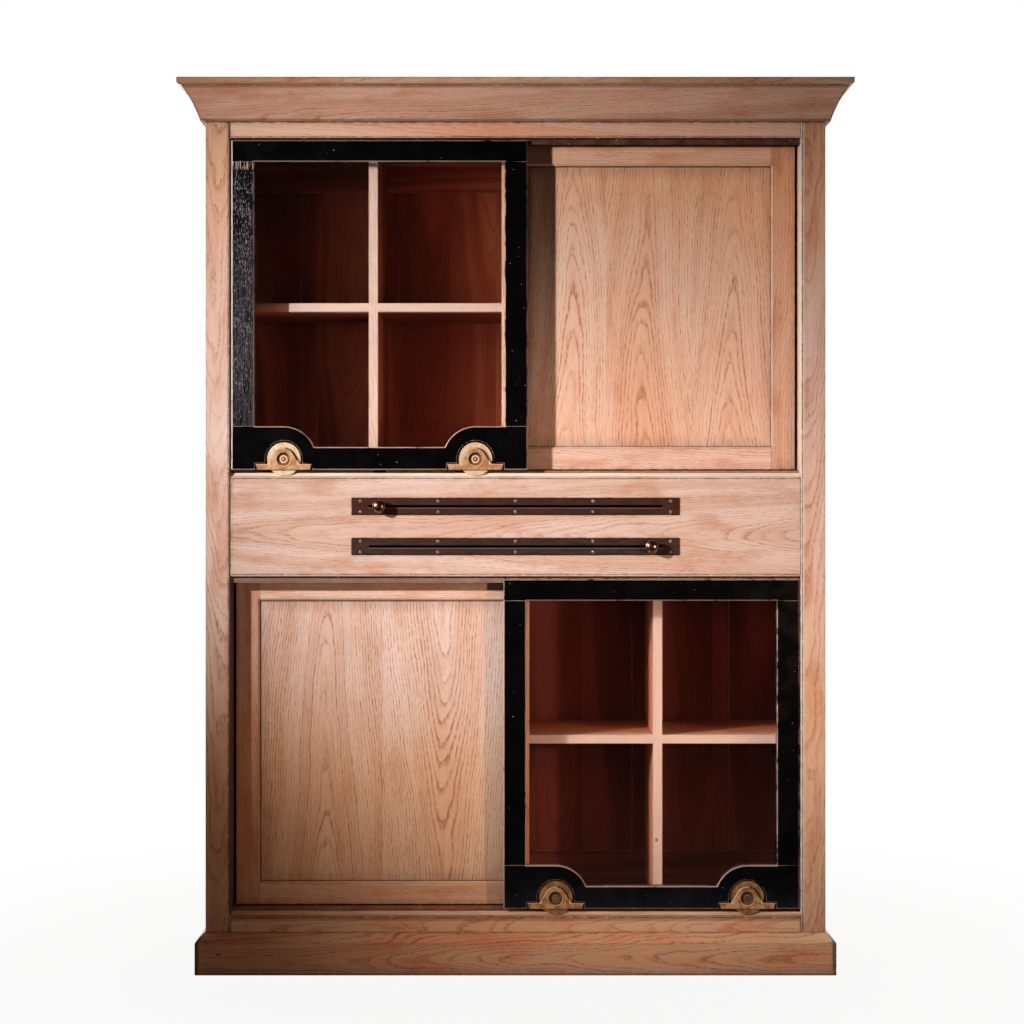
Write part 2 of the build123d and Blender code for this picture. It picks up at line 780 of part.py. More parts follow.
def glazed_door(tier, place, strap_middle, arm_way):
    """All pieces of one glazed door. arm_way is -1 where the arm hangs and 1 where it stands."""
    half = door_width / 2
    stile_top = door_height - door_top_rail
    edge = half - door_stile
    glazed_frame_member(f"{tier}_door_bottom_rail", place, -half, half, 0, shoulder_height)
    glazed_frame_member(f"{tier}_door_top_rail", place, -half, half, stile_top, door_height)
    glazed_frame_member(
        f"{tier}_door_left_stile", place, -half, -edge, shoulder_height, stile_top
    )
    glazed_frame_member(
        f"{tier}_door_right_stile", place, edge, half, shoulder_height, stile_top
    )

    with BuildPart() as glass:
        with BuildSketch(at_depth(door_middle + glass_thickness / 2)):
            with Locations((place[0], place[2])):
                add(glazed_aperture(glass_bite))
        extrude(amount=glass_thickness)
    save(glass, f"{tier}_door_glass")

    hubs = [(place[0] + x, front, place[2] + hub_height) for x in (-hub_offset, hub_offset)]
    with BuildPart() as brackets:
        with Locations(*hubs):
            add(bracket.part)
    save(brackets, f"{tier}_roller_brackets")

    for hub, hand in zip(hubs, ("left", "right")):
        with BuildPart() as placed_roller:
            with Locations(hub):
                add(roller.part)
        save(placed_roller, f"{tier}_{hand}_roller")

    # Arm behind the fascia, screwed to the back of the nearer rail
    rail_end = place[2] if arm_way < 0 else place[2] + door_height
    foot_end = rail_end - arm_way * (arm_foot_inset + arm_foot)
    reach = abs(strap_middle - foot_end)
    with BuildPart() as arm:
        with BuildSketch(at_depth(door_thickness + arm_thickness)):
            with Locations((place[0], (foot_end + strap_middle) / 2)):
                Rectangle(arm_width, reach)
            with Locations((place[0], strap_middle)):
                Circle(arm_width / 2)
                Circle(rivet_radius + rivet_clearance, mode=Mode.SUBTRACT)
        extrude(amount=arm_thickness)
    save(arm, f"{tier}_handle_arm")

    # Knob, stem and riveted end, as radius and depth
    knob_face = -strap_thickness - knob_length
    rim_back = knob_face + knob_crown + knob_rim
    neck_back = -strap_thickness - knob_gap
    arm_back = door_thickness + arm_thickness
    with BuildPart() as knob:
        with BuildSketch(Plane((place[0], front, strap_middle))):
            with BuildLine():
                Polyline(
                    (0, knob_face),
                    (knob_face_radius, knob_face),
                    (knob_radius, knob_face + knob_crown),
                    (knob_radius, rim_back),
                    (knob_neck_radius, rim_back),
                    (knob_neck_radius, neck_back),
                    (stem_radius, neck_back),
                    (stem_radius, door_thickness),
                    (rivet_radius, door_thickness),
                    (rivet_radius, arm_back),
                    (rivet_head_radius, arm_back),
                    (rivet_head_radius, arm_back + rivet_head_height),
                    (0, arm_back + rivet_head_height),
                    close=True,
                )
            make_face()
        revolve(axis=Axis((place[0], front, strap_middle), (0, 1, 0)))
    save(knob, f"{tier}_knob")


glazed_door("upper", (-door_centre, front, upper_door_bottom), upper_strap_height, -1)
glazed_door("lower", (door_centre, front, lower_door_bottom), lower_strap_height, 1)

# ---------------------------------------------------------------- oak doors
# A door is drawn about the middle of its bottom edge, with its front face on Y = 0.

leaf_panel_low = leaf_low_rail
leaf_panel_high = leaf_height - leaf_top_rail
leaf_panel_width = leaf_width - 2 * leaf_stile

with BuildPart() as leaf_frame:
    with BuildSketch(Plane.XZ.offset(-leaf_thickness)):
        with Locations((0, leaf_height / 2)):
            Rectangle(leaf_width, leaf_height)
        with Locations((0, (leaf_panel_low + leaf_panel_high) / 2)):
            Rectangle(leaf_panel_width, leaf_panel_high - leaf_panel_low, mode=Mode.SUBTRACT)
    extrude(amount=leaf_thickness)
    chamfer(leaf_frame.faces().sort_by(Axis.Y)[0].inner_wires()[0].edges(), leaf_bevel)
    outer_edges = leaf_frame.faces().sort_by(Axis.Y)[0].outer_wire().edges()
    fillet(outer_edges, leaf_ease)
    # Groove for the panel
    panel_groove = leaf_panel_thickness + 2 * leaf_panel_clearance
    with Locations((0, leaf_thickness / 2, (leaf_panel_low + leaf_panel_high) / 2)):
        Box(
            leaf_panel_width + 2 * (leaf_panel_bite + leaf_panel_clearance),
            panel_groove,
            leaf_panel_high - leaf_panel_low + 2 * (leaf_panel_bite + leaf_panel_clearance),
            mode=Mode.SUBTRACT,
        )
    # Grooves for the runner below and the guide tongue above
    with Locations((0, leaf_thickness / 2, runner_groove_depth / 2)):
        Box(
            leaf_width,
            runner_width + 2 * runner_clearance,
            runner_groove_depth,
            mode=Mode.SUBTRACT,
        )
    with Locations((0, leaf_thickness / 2, leaf_height - guide_groove_depth / 2)):
        Box(leaf_width, guide_groove, guide_groove_depth, mode=Mode.SUBTRACT)


def oak_door(tier, place):
    """The stiles, rails and panel of one oak door."""
    inner = leaf_width / 2 - leaf_stile
    with BuildPart() as rails:
        add(leaf_frame.part)
        with Locations((0, leaf_thickness / 2, leaf_height / 2)):
            Box(2 * inner, leaf_thickness, leaf_height, mode=Mode.INTERSECT)
    with BuildPart() as stiles:
        add(leaf_frame.part)
        with Locations((0, leaf_thickness / 2, leaf_height / 2)):
            Box(2 * inner, leaf_thickness, leaf_height, mode=Mode.SUBTRACT)
    for members, word in ((rails, "rails"), (stiles, "stiles")):
        with BuildPart() as placed:
            with Locations(place):
                add(members.part)
        save(placed, f"{tier}_oak_{word}")

    with BuildPart() as panel:
        with BuildSketch(at_depth(leaf_middle + leaf_panel_thickness / 2)):
            with Locations((place[0], place[2] + (leaf_panel_low + leaf_panel_high) / 2)):
                Rectangle(
                    leaf_panel_width + 2 * leaf_panel_bite,
                    leaf_panel_high - leaf_panel_low + 2 * leaf_panel_bite,
                )
        extrude(amount=leaf_panel_thickness)
    save(panel, f"{tier}_oak_panel")


oak_door("upper", (leaf_centre, front + leaf_front, upper_leaf_bottom))
oak_door("lower", (-leaf_centre, front + leaf_front, lower_leaf_bottom))
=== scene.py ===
import math

import bmesh
import bpy
from mathutils import Matrix, Vector


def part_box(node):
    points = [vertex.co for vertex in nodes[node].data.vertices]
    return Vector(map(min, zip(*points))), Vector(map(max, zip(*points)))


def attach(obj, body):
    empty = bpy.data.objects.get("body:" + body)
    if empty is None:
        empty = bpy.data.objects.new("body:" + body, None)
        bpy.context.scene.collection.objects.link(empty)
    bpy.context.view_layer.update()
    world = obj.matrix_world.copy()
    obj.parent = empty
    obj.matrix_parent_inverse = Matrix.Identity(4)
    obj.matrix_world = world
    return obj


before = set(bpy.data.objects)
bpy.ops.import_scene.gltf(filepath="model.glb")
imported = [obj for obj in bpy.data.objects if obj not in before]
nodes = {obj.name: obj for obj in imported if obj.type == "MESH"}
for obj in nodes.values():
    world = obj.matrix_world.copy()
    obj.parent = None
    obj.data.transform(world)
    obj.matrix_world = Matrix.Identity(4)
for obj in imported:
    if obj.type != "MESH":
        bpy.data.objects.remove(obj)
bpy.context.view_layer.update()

scene = bpy.context.scene
TIERS = ("lower", "upper")

# -------- places read from the frame


def span(node, axis):
    """Lowest and highest place of a CAD node along one axis, in metres."""
    low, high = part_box(node)
    return low[axis], high[axis]


FRONT = span("left_front_post", 1)[0]
REAR = span("rear_posts", 1)[1]
POST_INNER = span("right_front_post", 0)[0]
INTERIOR_FRONT = span("centre_posts", 1)[0]

# -------- camera

CAMERA_DISTANCE = 5.0
CAMERA_HEIGHT = 1.077
FOCAL_PIXELS = 2230.2
FRAME_PIXELS = 1024
VANISHING_POINT = (515.5, 493.0)

camera_data = bpy.data.cameras.new("camera")
camera_data.sensor_width = 36.0
camera_data.lens = FOCAL_PIXELS / FRAME_PIXELS * camera_data.sensor_width
camera_data.shift_x = (FRAME_PIXELS / 2 - VANISHING_POINT[0]) / FRAME_PIXELS
camera_data.shift_y = (VANISHING_POINT[1] - FRAME_PIXELS / 2) / FRAME_PIXELS
camera = bpy.data.objects.new("camera", camera_data)
camera.location = (0.0, FRONT - CAMERA_DISTANCE, CAMERA_HEIGHT)
camera.rotation_euler = (math.radians(90), 0, 0)
scene.collection.objects.link(camera)
scene.camera = camera
scene.view_settings.view_transform = "Standard"

# -------- node tree helper


class Tree:
    """Short calls that add shader nodes and link them. A socket or a plain value goes in anywhere."""

    def __init__(self, tree):
        self.tree = tree

    def add(self, kind, **settings):
        node = self.tree.nodes.new(kind)
        for name, value in settings.items():
            setattr(node, name, value)
        return node

    def put(self, socket, value):
        """Links a socket's value, or sets a plain one."""
        if isinstance(value, bpy.types.NodeSocket):
            self.tree.links.new(value, socket)
        elif socket.type == "RGBA" and len(value) == 3:
            socket.default_value = (*value, 1.0)
        else:
            socket.default_value = value

    def math(self, operation, *values):
        node = self.add("ShaderNodeMath", operation=operation)
        for socket, value in zip(node.inputs, values):
            self.put(socket, value)
        return node.outputs[0]

    def plus(self, first, second):
        return self.math("ADD", first, second)

    def minus(self, first, second):
        return self.math("SUBTRACT", first, second)

    def times(self, first, *others):
        """The product of two or more values."""
        for value in others:
            first = self.math("MULTIPLY", first, value)
        return first

    def most(self, first, *others):
        """The greatest of two or more values."""
        for value in others:
            first = self.math("MAXIMUM", first, value)
        return first

    def over(self, value, limit):
        """1 where the value is greater than the limit, and 0 elsewhere."""
        return self.math("GREATER_THAN", value, limit)

    def under(self, value, limit):
        """1 where the value is less than the limit, and 0 elsewhere."""
        return self.math("LESS_THAN", value, limit)

    def vector(self, operation, *values):
        node = self.add("ShaderNodeVectorMath", operation=operation)
        for socket, value in zip(node.inputs, values):
            self.put(socket, value)
        return node.outputs["Value"] if operation in ("LENGTH", "DOT_PRODUCT") else node.outputs["Vector"]

    def combine(self, x, y, z):
        node = self.add("ShaderNodeCombineXYZ")
        for socket, value in zip(node.inputs, (x, y, z)):
            self.put(socket, value)
        return node.outputs[0]

    def split(self, vector):
        node = self.add("ShaderNodeSeparateXYZ")
        self.put(node.inputs[0], vector)
        return node.outputs

    def place(self):
        """The place in the row frame, carried along by the piece."""
        return self.add("ShaderNodeTexCoord").outputs["Object"]

    def noise(self, vector, scale, detail=2.0, roughness=0.5, colour=False):
        node = self.add("ShaderNodeTexNoise")
        self.put(node.inputs["Vector"], vector)
        self.put(node.inputs["Scale"], scale)
        self.put(node.inputs["Detail"], detail)
        self.put(node.inputs["Roughness"], roughness)
        return node.outputs["Color" if colour else "Fac"]

    def stretch(self, vector, factors):
        """The vector times a factor on each axis."""
        return self.vector("MULTIPLY", vector, factors)

    def remap(self, value, low, high, to_low=0.0, to_high=1.0, smooth=True):
        """The value's place between low and high, taken to the same place between to_low and to_high."""
        node = self.add("ShaderNodeMapRange", interpolation_type="SMOOTHSTEP" if smooth else "LINEAR")
        for socket, number in zip(node.inputs, (value, low, high, to_low, to_high)):
            self.put(socket, number)
        return node.outputs[0]

    def mix(self, factor, first, second, blend="MIX"):
        node = self.add("ShaderNodeMix", data_type="RGBA", blend_type=blend)
        self.put(node.inputs[0], factor)
        self.put(node.inputs[6], first)
        self.put(node.inputs[7], second)
        return node.outputs[2]

    def random(self, value):
        """A chance Value and Color for each number."""
        node = self.add("ShaderNodeTexWhiteNoise", noise_dimensions="1D")
        self.put(node.inputs["W"], value)
        return node.outputs

    def occlusion(self, distance):
        """1 on open ground and down to 0 in corners within a distance."""
        node = self.add("ShaderNodeAmbientOcclusion", samples=8)
        node.inputs["Distance"].default_value = distance
        return node.outputs["AO"]

    def edges(self, radius, samples=6):
        """0 on flat ground and up to 1 on arrises within a radius."""
        bevel = self.add("ShaderNodeBevel", samples=samples)
        bevel.inputs["Radius"].default_value = radius
        normal = self.add("ShaderNodeNewGeometry").outputs["Normal"]
        return self.minus(1.0, self.vector("DOT_PRODUCT", bevel.outputs[0], normal))

    def bump(self, height, strength, distance):
        node = self.add("ShaderNodeBump")
        self.put(node.inputs["Height"], height)
        node.inputs["Strength"].default_value = strength
        node.inputs["Distance"].default_value = distance
        return node.outputs[0]


def srgb(red, green, blue):
    """A colour given as 0..255 screen values, made linear."""
    def linear(value):
        value /= 255
        return value / 12.92 if value <= 0.04045 else ((value + 0.055) / 1.055) ** 2.4
    return tuple(linear(v) for v in (red, green, blue))


def new_material(name, **constants):
    """A material with one Principled shader. constants are set on the shader's own sockets."""
    material = bpy.data.materials.new(name)
    material.use_nodes = True
    shader = material.node_tree.nodes["Principled BSDF"]
    tree = Tree(material.node_tree)
    for key, value in constants.items():
        tree.put(shader.inputs[key.replace("_", " ")], value)
    return material, tree, shader


def paint(t, shader, colour, rough, normal=None):
    """Joins a colour, a roughness and a bump to a shader."""
    for name, value in (("Base Color", colour), ("Roughness", rough), ("Normal", normal)):
        if value is not None:
            t.put(shader.inputs[name], value)


# -------- oak figure, shared by every board

# How far the heart wanders, and how deep the lumps and ripples of the rings are
HEART_SWAY = (0.07, 0.05, 0.0)
LUMP_DEPTH = 0.034
RIPPLE_DEPTH = 0.0045
RING_SPACING = 0.0046
LOG_TAPER = 0.05

# The part of the log that glued boards are cut from, across it and along it
LOG_WIDTH = 0.05
LOG_LENGTH = 6.0


def make_figure():
    """Ring-porous wood cut from a log whose heart runs along z.

    Outputs: Line, the dark early part of each ring; Pore, short dark vessels; Fibre, long fine streaks;
    Tone, a slow change of colour. Each noise is stretched to so many marks in a metre, across the grain
    twice and along it.
    """
    group = bpy.data.node_groups.new("oak_figure", "ShaderNodeTree")
    for name, kind in (("Vector", "NodeSocketVector"), ("Heart", "NodeSocketVector"),
                       ("Seed", "NodeSocketFloat"), ("Spacing", "NodeSocketFloat"),
                       ("Taper", "NodeSocketFloat")):
        group.interface.new_socket(name, in_out="INPUT", socket_type=kind)
    for name in ("Line", "Pore", "Fibre", "Tone"):
        group.interface.new_socket(name, in_out="OUTPUT", socket_type="NodeSocketFloat")
    t = Tree(group)
    given = t.add("NodeGroupInput").outputs
    result = t.add("NodeGroupOutput").inputs
    shift = t.combine(t.times(given["Seed"], 1.7), given["Seed"], t.times(given["Seed"], 2.3))
    place = t.vector("ADD", given["Vector"], shift)
    _, _, along = t.split(given["Vector"])

    # The heart wanders slowly along the log
    sway = t.noise(t.stretch(place, (0.4, 0.4, 1.3)), 1.0, 1.0, colour=True)
    sway = t.stretch(t.vector("SUBTRACT", sway, (0.5, 0.5, 0.5)), HEART_SWAY)
    from_heart = t.vector("SUBTRACT", t.vector("SUBTRACT", given["Vector"], given["Heart"]), sway)
    radius = t.vector("LENGTH", t.stretch(from_heart, (1.0, 1.0, 0.0)))
    lumps = t.minus(t.noise(t.stretch(place, (9.0, 9.0, 2.6)), 1.0, 2.0, 0.55), 0.5)
    ripple = t.minus(t.noise(t.stretch(place, (60.0, 60.0, 24.0)), 1.0, 2.0), 0.5)
    radius = t.plus(t.plus(radius, t.times(lumps, LUMP_DEPTH)), t.times(ripple, RIPPLE_DEPTH))
    radius = t.minus(radius, t.times(along, given["Taper"]))
    ring = t.math("DIVIDE", radius, given["Spacing"])
    phase = t.math("FRACT", ring)
    fade = t.remap(phase, 0.0, 0.5, 1.0, 0.0)
    rise = t.remap(phase, 0.9, 1.0, 0.0, 1.0)
    chance = t.random(t.math("FLOOR", ring))["Value"]
    strength = t.remap(chance, 0.0, 1.0, 0.2, 1.0, smooth=False)
    line = t.times(t.most(fade, rise), strength)

    vessels = t.noise(t.stretch(place, (1500.0, 1500.0, 60.0)), 1.0, 1.0)
    dash = t.noise(t.stretch(place, (520.0, 520.0, 85.0)), 1.0, 2.0)
    pore = t.most(t.remap(vessels, 0.56, 0.70), t.times(t.remap(dash, 0.52, 0.66), 0.6))
    pore = t.times(pore, t.remap(line, 0.0, 0.8, 0.22, 1.0))
    line = t.times(line, t.remap(dash, 0.36, 0.58, 0.2, 1.0))
    fibre = t.noise(t.stretch(place, (240.0, 240.0, 5.0)), 1.0, 3.0, 0.6)
    # Rings come in groups of darker and paler years
    years = t.remap(t.noise(t.combine(ring, given["Seed"], 0.0), 0.16, 1.0), 0.36, 0.64)
    line = t.times(line, t.remap(years, 0.0, 1.0, 0.65, 1.0, smooth=False))
    tone = t.noise(t.stretch(place, (7.0, 7.0, 1.6)), 1.0, 2.0)
    tone = t.plus(t.times(tone, 0.7), t.times(years, 0.3))
    for name, value in (("Line", line), ("Pore", pore), ("Fibre", fibre), ("Tone", tone)):
        t.put(result[name], value)
    return group


figure_group = make_figure()


def along_grain(t, place, grain):
    """The place turned so that the grain, which runs along the axis that is named, runs along z."""
    x, y, z = t.split(place)
    return {"x": t.combine(z, y, x), "y": t.combine(x, z, y), "z": place}[grain]


def figure(t, place, heart, seed, spacing, taper):
    """The oak's Line, Pore, Fibre and Tone at a place in the log."""
    node = t.add("ShaderNodeGroup", node_tree=figure_group)
    for name, value in (("Vector", place), ("Heart", heart), ("Seed", seed),
                        ("Spacing", spacing), ("Taper", taper)):
        t.put(node.inputs[name], value)
    return node.outputs


def glued_boards(t, place, start, width, turned, seed):
    """Cuts the place across x into boards, each from another part of the log. Returns it and a tone.

    turned is the number of the board that is laid the other way up, or -1.
    """
    across, deep, along = t.split(place)
    count = t.math("FLOOR", t.math("DIVIDE", t.minus(across, start), width))
    chance = t.random(t.plus(count, seed))
    red, green, blue = t.split(chance["Color"])
    centre = t.plus(start, t.times(t.plus(count, 0.5), width))
    across = t.plus(t.minus(across, centre), t.times(t.minus(red, 0.5), LOG_WIDTH))
    way = t.minus(1.0, t.times(t.math("COMPARE", count, float(turned), 0.5), 2.0))
    along = t.plus(t.times(along, way), t.times(green, LOG_LENGTH))
    return t.combine(across, deep, along), blue


OAK_LIGHT = srgb(247, 208, 184)
OAK_MID = srgb(233, 182, 150)
OAK_AMBER = srgb(214, 140, 98)
OAK_LINE = srgb(184, 114, 78)
OAK_PORE = srgb(142, 80, 52)
OAK_DIRT_AND_SHADE = srgb(64, 30, 16)
OAK_BARE_AND_HIGHLIGHT = srgb(252, 228, 208)
PALEST = (0.96, 0.96, 0.96)

STAIN_LIGHT = srgb(172, 92, 60)
STAIN_DARK = srgb(120, 54, 34)
STAIN_LINE = srgb(58, 22, 14)

# Reach of the dirt and painted shade in the corners, and of the wear along the arrises
OAK_CORNER = 0.006
OAK_HOLLOW = 0.035
OAK_ARRIS = 0.006

# Painted light: the middle of the front, where the beams are brightest, is paler and cooler, and the wood
# turns warmer from there to the ends, where the beams fall off
LIT_CENTRE = (-0.15, 0.0, 1.15)
LIT_REACH = (1.0, 1.0, 0.6)
LIT_TINT = (1.0, 1.05, 1.16)
FALLOFF_TINT = (1.0, 0.88, 0.74)


def painted_light_tint(t, place):
    """A colour that the wood is multiplied by, after its place: painted light, paler where the beams are
    brightest and warmer where they fall off.
    """
    away = t.vector("DIVIDE", t.vector("SUBTRACT", place, LIT_CENTRE), LIT_REACH)
    away = t.vector("LENGTH", t.stretch(away, (1.0, 0.0, 1.0)))
    return t.mix(t.remap(away, 0.75, 1.3), LIT_TINT, FALLOFF_TINT)


def stained(t, wood, tone):
    """The red-brown colour of the room behind the doors."""
    colour = t.mix(t.remap(tone, 0.3, 0.7), STAIN_DARK, STAIN_LIGHT)
    return t.mix(t.times(wood["Line"], 0.5), colour, STAIN_LINE)


def oak(name, grain, heart, seed, spacing=RING_SPACING, taper=LOG_TAPER, boards=None, tint=(1, 1, 1),
        stain_and_shade=None, contrast=1.0, rim=0.3, blotch=0.55, painted_highlight=None, line=OAK_LINE, inside=None):
    """Waxed light oak for one piece.

    boards holds the glued boards' start, width and turned one, if any. stain_and_shade(t, place) adds dark
    places, stains and painted shade, and painted_highlight(t, place) pale ones, painted highlights. contrast
    is the depth of the figure and line its colour, blotch is the depth of the amber clouds, and rim that of
    the dark line along the arrises. inside(t, place) is 1 where the wood is stained like the room behind the
    doors.
    """
    material, t, shader = new_material(name, Specular_IOR_Level=0.35)
    row_place = t.place()
    place = along_grain(t, row_place, grain)
    board_tone = 0.5
    if boards:
        place, board_tone = glued_boards(t, place, *boards, seed)
    wood = figure(t, place, heart, seed, spacing, taper)
    tone = t.plus(t.times(wood["Tone"], 0.88), t.times(board_tone, 0.12))
    colour = t.mix(t.remap(tone, 0.25, 0.75), OAK_LIGHT, OAK_MID)
    amber = t.noise(t.stretch(t.vector("ADD", place, (seed, 0.0, seed)), (22.0, 22.0, 8.0)), 1.0, 3.0, 0.6)
    colour = t.mix(t.remap(amber, 0.46, 0.72, 0.0, blotch), colour, OAK_AMBER)
    colour = t.mix(t.times(wood["Line"], min(1.0, 0.7 * contrast)), colour, line)
    colour = t.mix(t.times(wood["Pore"], 0.45 * contrast), colour, OAK_PORE)
    streak = t.remap(wood["Fibre"], 0.3, 0.7, 0.9, 1.06, smooth=False)
    for factor in (t.combine(streak, streak, streak), tint, painted_light_tint(t, row_place)):
        colour = t.mix(1.0, colour, factor, "MULTIPLY")
    colour = t.vector("MINIMUM", colour, PALEST)
    if inside:
        colour = t.mix(inside(t, row_place), colour, stained(t, wood, tone))

    # Dirt and old finish in the corners, and painted shade: the wood darkens in corners and hollows as far as
    # occlusion reaches
    close = t.remap(t.occlusion(OAK_CORNER), 0.55, 0.95, 0.9, 0.0)
    wide = t.remap(t.occlusion(OAK_HOLLOW), 0.4, 1.0, 0.45, 0.0)
    uneven = t.noise(row_place, 60.0, 3.0)
    dirt_and_shade = t.times(t.most(close, wide), t.remap(uneven, 0.3, 0.7, 0.55, 1.15))
    # Stains, and painted shade where the piece has it
    if stain_and_shade:
        dirt_and_shade = t.most(dirt_and_shade, stain_and_shade(t, row_place))
    if rim:
        edge = t.edges(OAK_ARRIS, 4)
        arris = t.remap(edge, 0.01, 0.11, 0.0, rim)
        dirt_and_shade = t.most(dirt_and_shade, t.times(arris, t.remap(uneven, 0.3, 0.6, 0.5, 1.0)))
        chips = t.remap(t.noise(row_place, 130.0, 2.0), 0.63, 0.7)
        chips = t.times(chips, t.remap(edge, 0.06, 0.12, 0.0, 0.8))
        dirt_and_shade = t.times(dirt_and_shade, t.minus(1.0, chips))
        colour = t.mix(chips, colour, OAK_BARE_AND_HIGHLIGHT)
    # A pale painted highlight where the piece has one
    if painted_highlight:
        colour = t.mix(painted_highlight(t, row_place), colour, OAK_BARE_AND_HIGHLIGHT)
    dirt_and_shade = t.math("MINIMUM", dirt_and_shade, 1.0)
    rough = t.most(t.remap(wood["Line"], 0.0, 1.0, 0.46, 0.6), t.times(dirt_and_shade, 0.95))
    sunk = t.plus(t.times(wood["Pore"], 0.8), t.times(wood["Line"], 0.3))
    paint(t, shader, t.mix(dirt_and_shade, colour, OAK_DIRT_AND_SHADE), rough, t.bump(t.minus(1.0, sunk), 0.3, 0.0005))
    return material


def dress(node, material):
    """Gives a CAD node a material, its mesh untouched."""
    slots = nodes[node].material_slots
    if not slots:
        nodes[node].data.materials.append(material)
    for slot in slots:
        slot.material = material


# -------- stains, painted shade and highlights, and marks

HEAD_GAP = 0.006
# Bottom and top of the two door openings
OPENINGS = {
    "lower": (span("bottom_rail", 2)[1], span("lower_door_top_rail", 2)[1] + HEAD_GAP),
    "upper": (span("middle_fascia", 2)[1], span("upper_door_top_rail", 2)[1] + HEAD_GAP),
}

# Two distances from the edge that each mark follows, between which it fades
PLINTH_END = (0.0130, 0.0050)
PLINTH_FOOT = (0.0030, 0.0070)
POST_ARRIS = (0.0040, 0.0028)
POST_BEAD = (0.0080, 0.0100)
TONGUE_JOINT = (0.0045, 0.0030)
RAIL_END = 0.009
RAIL_BEAD = (0.0150, 0.0100)
CORNICE_TOP = (0.0085, 0.0045)
CORNICE_FOOT = (0.0035, 0.0075)
CORNICE_SHADE_TOP = 0.02

# Places across and up, half widths and half heights of single marks
POST_CRACK = (-0.669, 0.783, 0.0022, 0.0100)
PLINTH_KNOT = (-0.664, 0.046, 0.0085, 0.0040)
DIVIDER_KNOT = (0.3215, 0.2860, 0.0050, 0.0060)

# Just outside the faces that look into the room behind the doors, from the middle of the cabinet
INNER_FACES = {"side_panels": 0.6765, "side_rails": 0.6695, "rear_posts": 0.6400}
FACE_MARGIN = 0.0008

LEAF_PANEL_BITE = 0.0077
SEAM_BORDER = 0.035


def knot(t, place, mark):
    """One small dark mark."""
    x, z, half_width, half_height = mark
    across, _, up = t.split(place)
    aside = t.math("DIVIDE", t.minus(across, x), half_width)
    above = t.math("DIVIDE", t.minus(up, z), half_height)
    return t.remap(t.vector("LENGTH", t.combine(aside, 0.0, above)), 0.3, 1.0, 0.8, 0.0)


def plinth_dark_edges(t, place):
    """Darker along the plinth's foot and at its two ends, and one knot."""
    across, _, up = t.split(place)
    half = span("plinth_front", 0)[1]
    end = t.remap(t.math("ABSOLUTE", across), half - PLINTH_END[0], half - PLINTH_END[1], 0.0, 0.8)
    foot = t.remap(up, *PLINTH_FOOT, 0.6, 0.0)
    return t.most(end, foot, knot(t, place, PLINTH_KNOT))


def post_shade_and_crack(t, place):
    """Painted shade on the left post's inner arris, which faces away from the light, in the gap beside the
    doors, and one crack.
    """
    across, _, up = t.split(place)
    inner = span("left_front_post", 0)[1]
    sill = OPENINGS["lower"][0]
    arris = t.remap(across, inner - POST_ARRIS[0], inner - POST_ARRIS[1])
    return t.most(t.times(arris, t.remap(up, sill, sill + 0.002), 0.92), knot(t, place, POST_CRACK))


def post_highlight(t, place):
    """A pale painted highlight on the right post's bead, which faces the light."""
    across, _, up = t.split(place)
    sill = OPENINGS["lower"][0]
    bead = t.remap(across, POST_INNER + POST_BEAD[0], POST_INNER + POST_BEAD[1], 0.75, 0.0)
    return t.times(bead, t.remap(up, sill, sill + 0.01))


def tongue_shade(bottom, shade_depth):
    """The tongue under a rail that guides the head of a glazed door, darkened as painted shade. shade_depth
    goes up to 1.
    """
    def stain_and_shade(t, place):
        across, _, up = t.split(place)
        # Painted shade over the tongue, a little uneven
        uneven = t.noise(t.stretch(place, (30.0, 30.0, 30.0)), 1.0, 3.0)
        tongue = t.remap(uneven, 0.3, 0.7, shade_depth - 0.08, shade_depth)
        # A black joint under the rail
        tongue = t.most(tongue, t.remap(up, bottom - TONGUE_JOINT[0], bottom - TONGUE_JOINT[1], 0.0, 0.98))
        tongue = t.times(tongue, t.under(up, bottom - 0.0002))
        # Grime where the rail meets the left post
        low = span("middle_fascia", 0)[0]
        end = t.remap(across, low, low + RAIL_END, 0.5, 0.0)
        return t.most(tongue, t.times(end, t.remap(uneven, 0.35, 0.65)))
    return stain_and_shade


def rail_stain(t, place):
    """Grime along the bead of the bottom rail."""
    _, _, up = t.split(place)
    top = span("bottom_rail", 2)[1]
    return t.remap(up, top - RAIL_BEAD[0], top - RAIL_BEAD[1], 0.0, 0.42)


def cornice_lines_and_shade(t, place):
    """Dark lines along the cornice's upper and lower edges, and painted shade that deepens downward."""
    _, _, up = t.split(place)
    low, high = span("cornice_front", 2)
    above = t.remap(up, high - CORNICE_TOP[0], high - CORNICE_TOP[1], 0.0, 0.45)
    below = t.remap(up, low + CORNICE_FOOT[0], low + CORNICE_FOOT[1], 0.6, 0.0)
    # Painted shade, deepening downward
    shade = t.remap(up, low, high - CORNICE_SHADE_TOP, 0.2, 0.0, smooth=False)
    return t.most(above, below, shade)


def seam_joint_and_shadow(node):
    """The dark joint where a leaf's frame holds its panel, deepest on the top and left as painted shadow of
    the frame, with painted shade that fades from it into the panel.
    """
    (x0, x1), (z0, z1) = (span(node, axis) for axis in (0, 2))
    # Axis, edge of the panel, way into it, width and depth of each dark seam
    seams = ((0, x0, 1.0, 0.0032, 0.9), (0, x1, -1.0, 0.0024, 0.65),
             (2, z1, -1.0, 0.0034, 0.9), (2, z0, 1.0, 0.0024, 0.75))

    def stain_and_shade(t, place):
        split = t.split(place)
        total = 0.0
        for axis, side, way, width, depth in seams:
            inward = t.times(t.minus(split[axis], side), way)
            edge = LEAF_PANEL_BITE + width
            seam = t.remap(inward, edge - 0.0008, edge + 0.0004, depth, 0.0)
            border = t.remap(inward, edge, edge + SEAM_BORDER, 0.28 * depth, 0.0)
            total = t.most(total, seam, border)
        return total
    return stain_and_shade


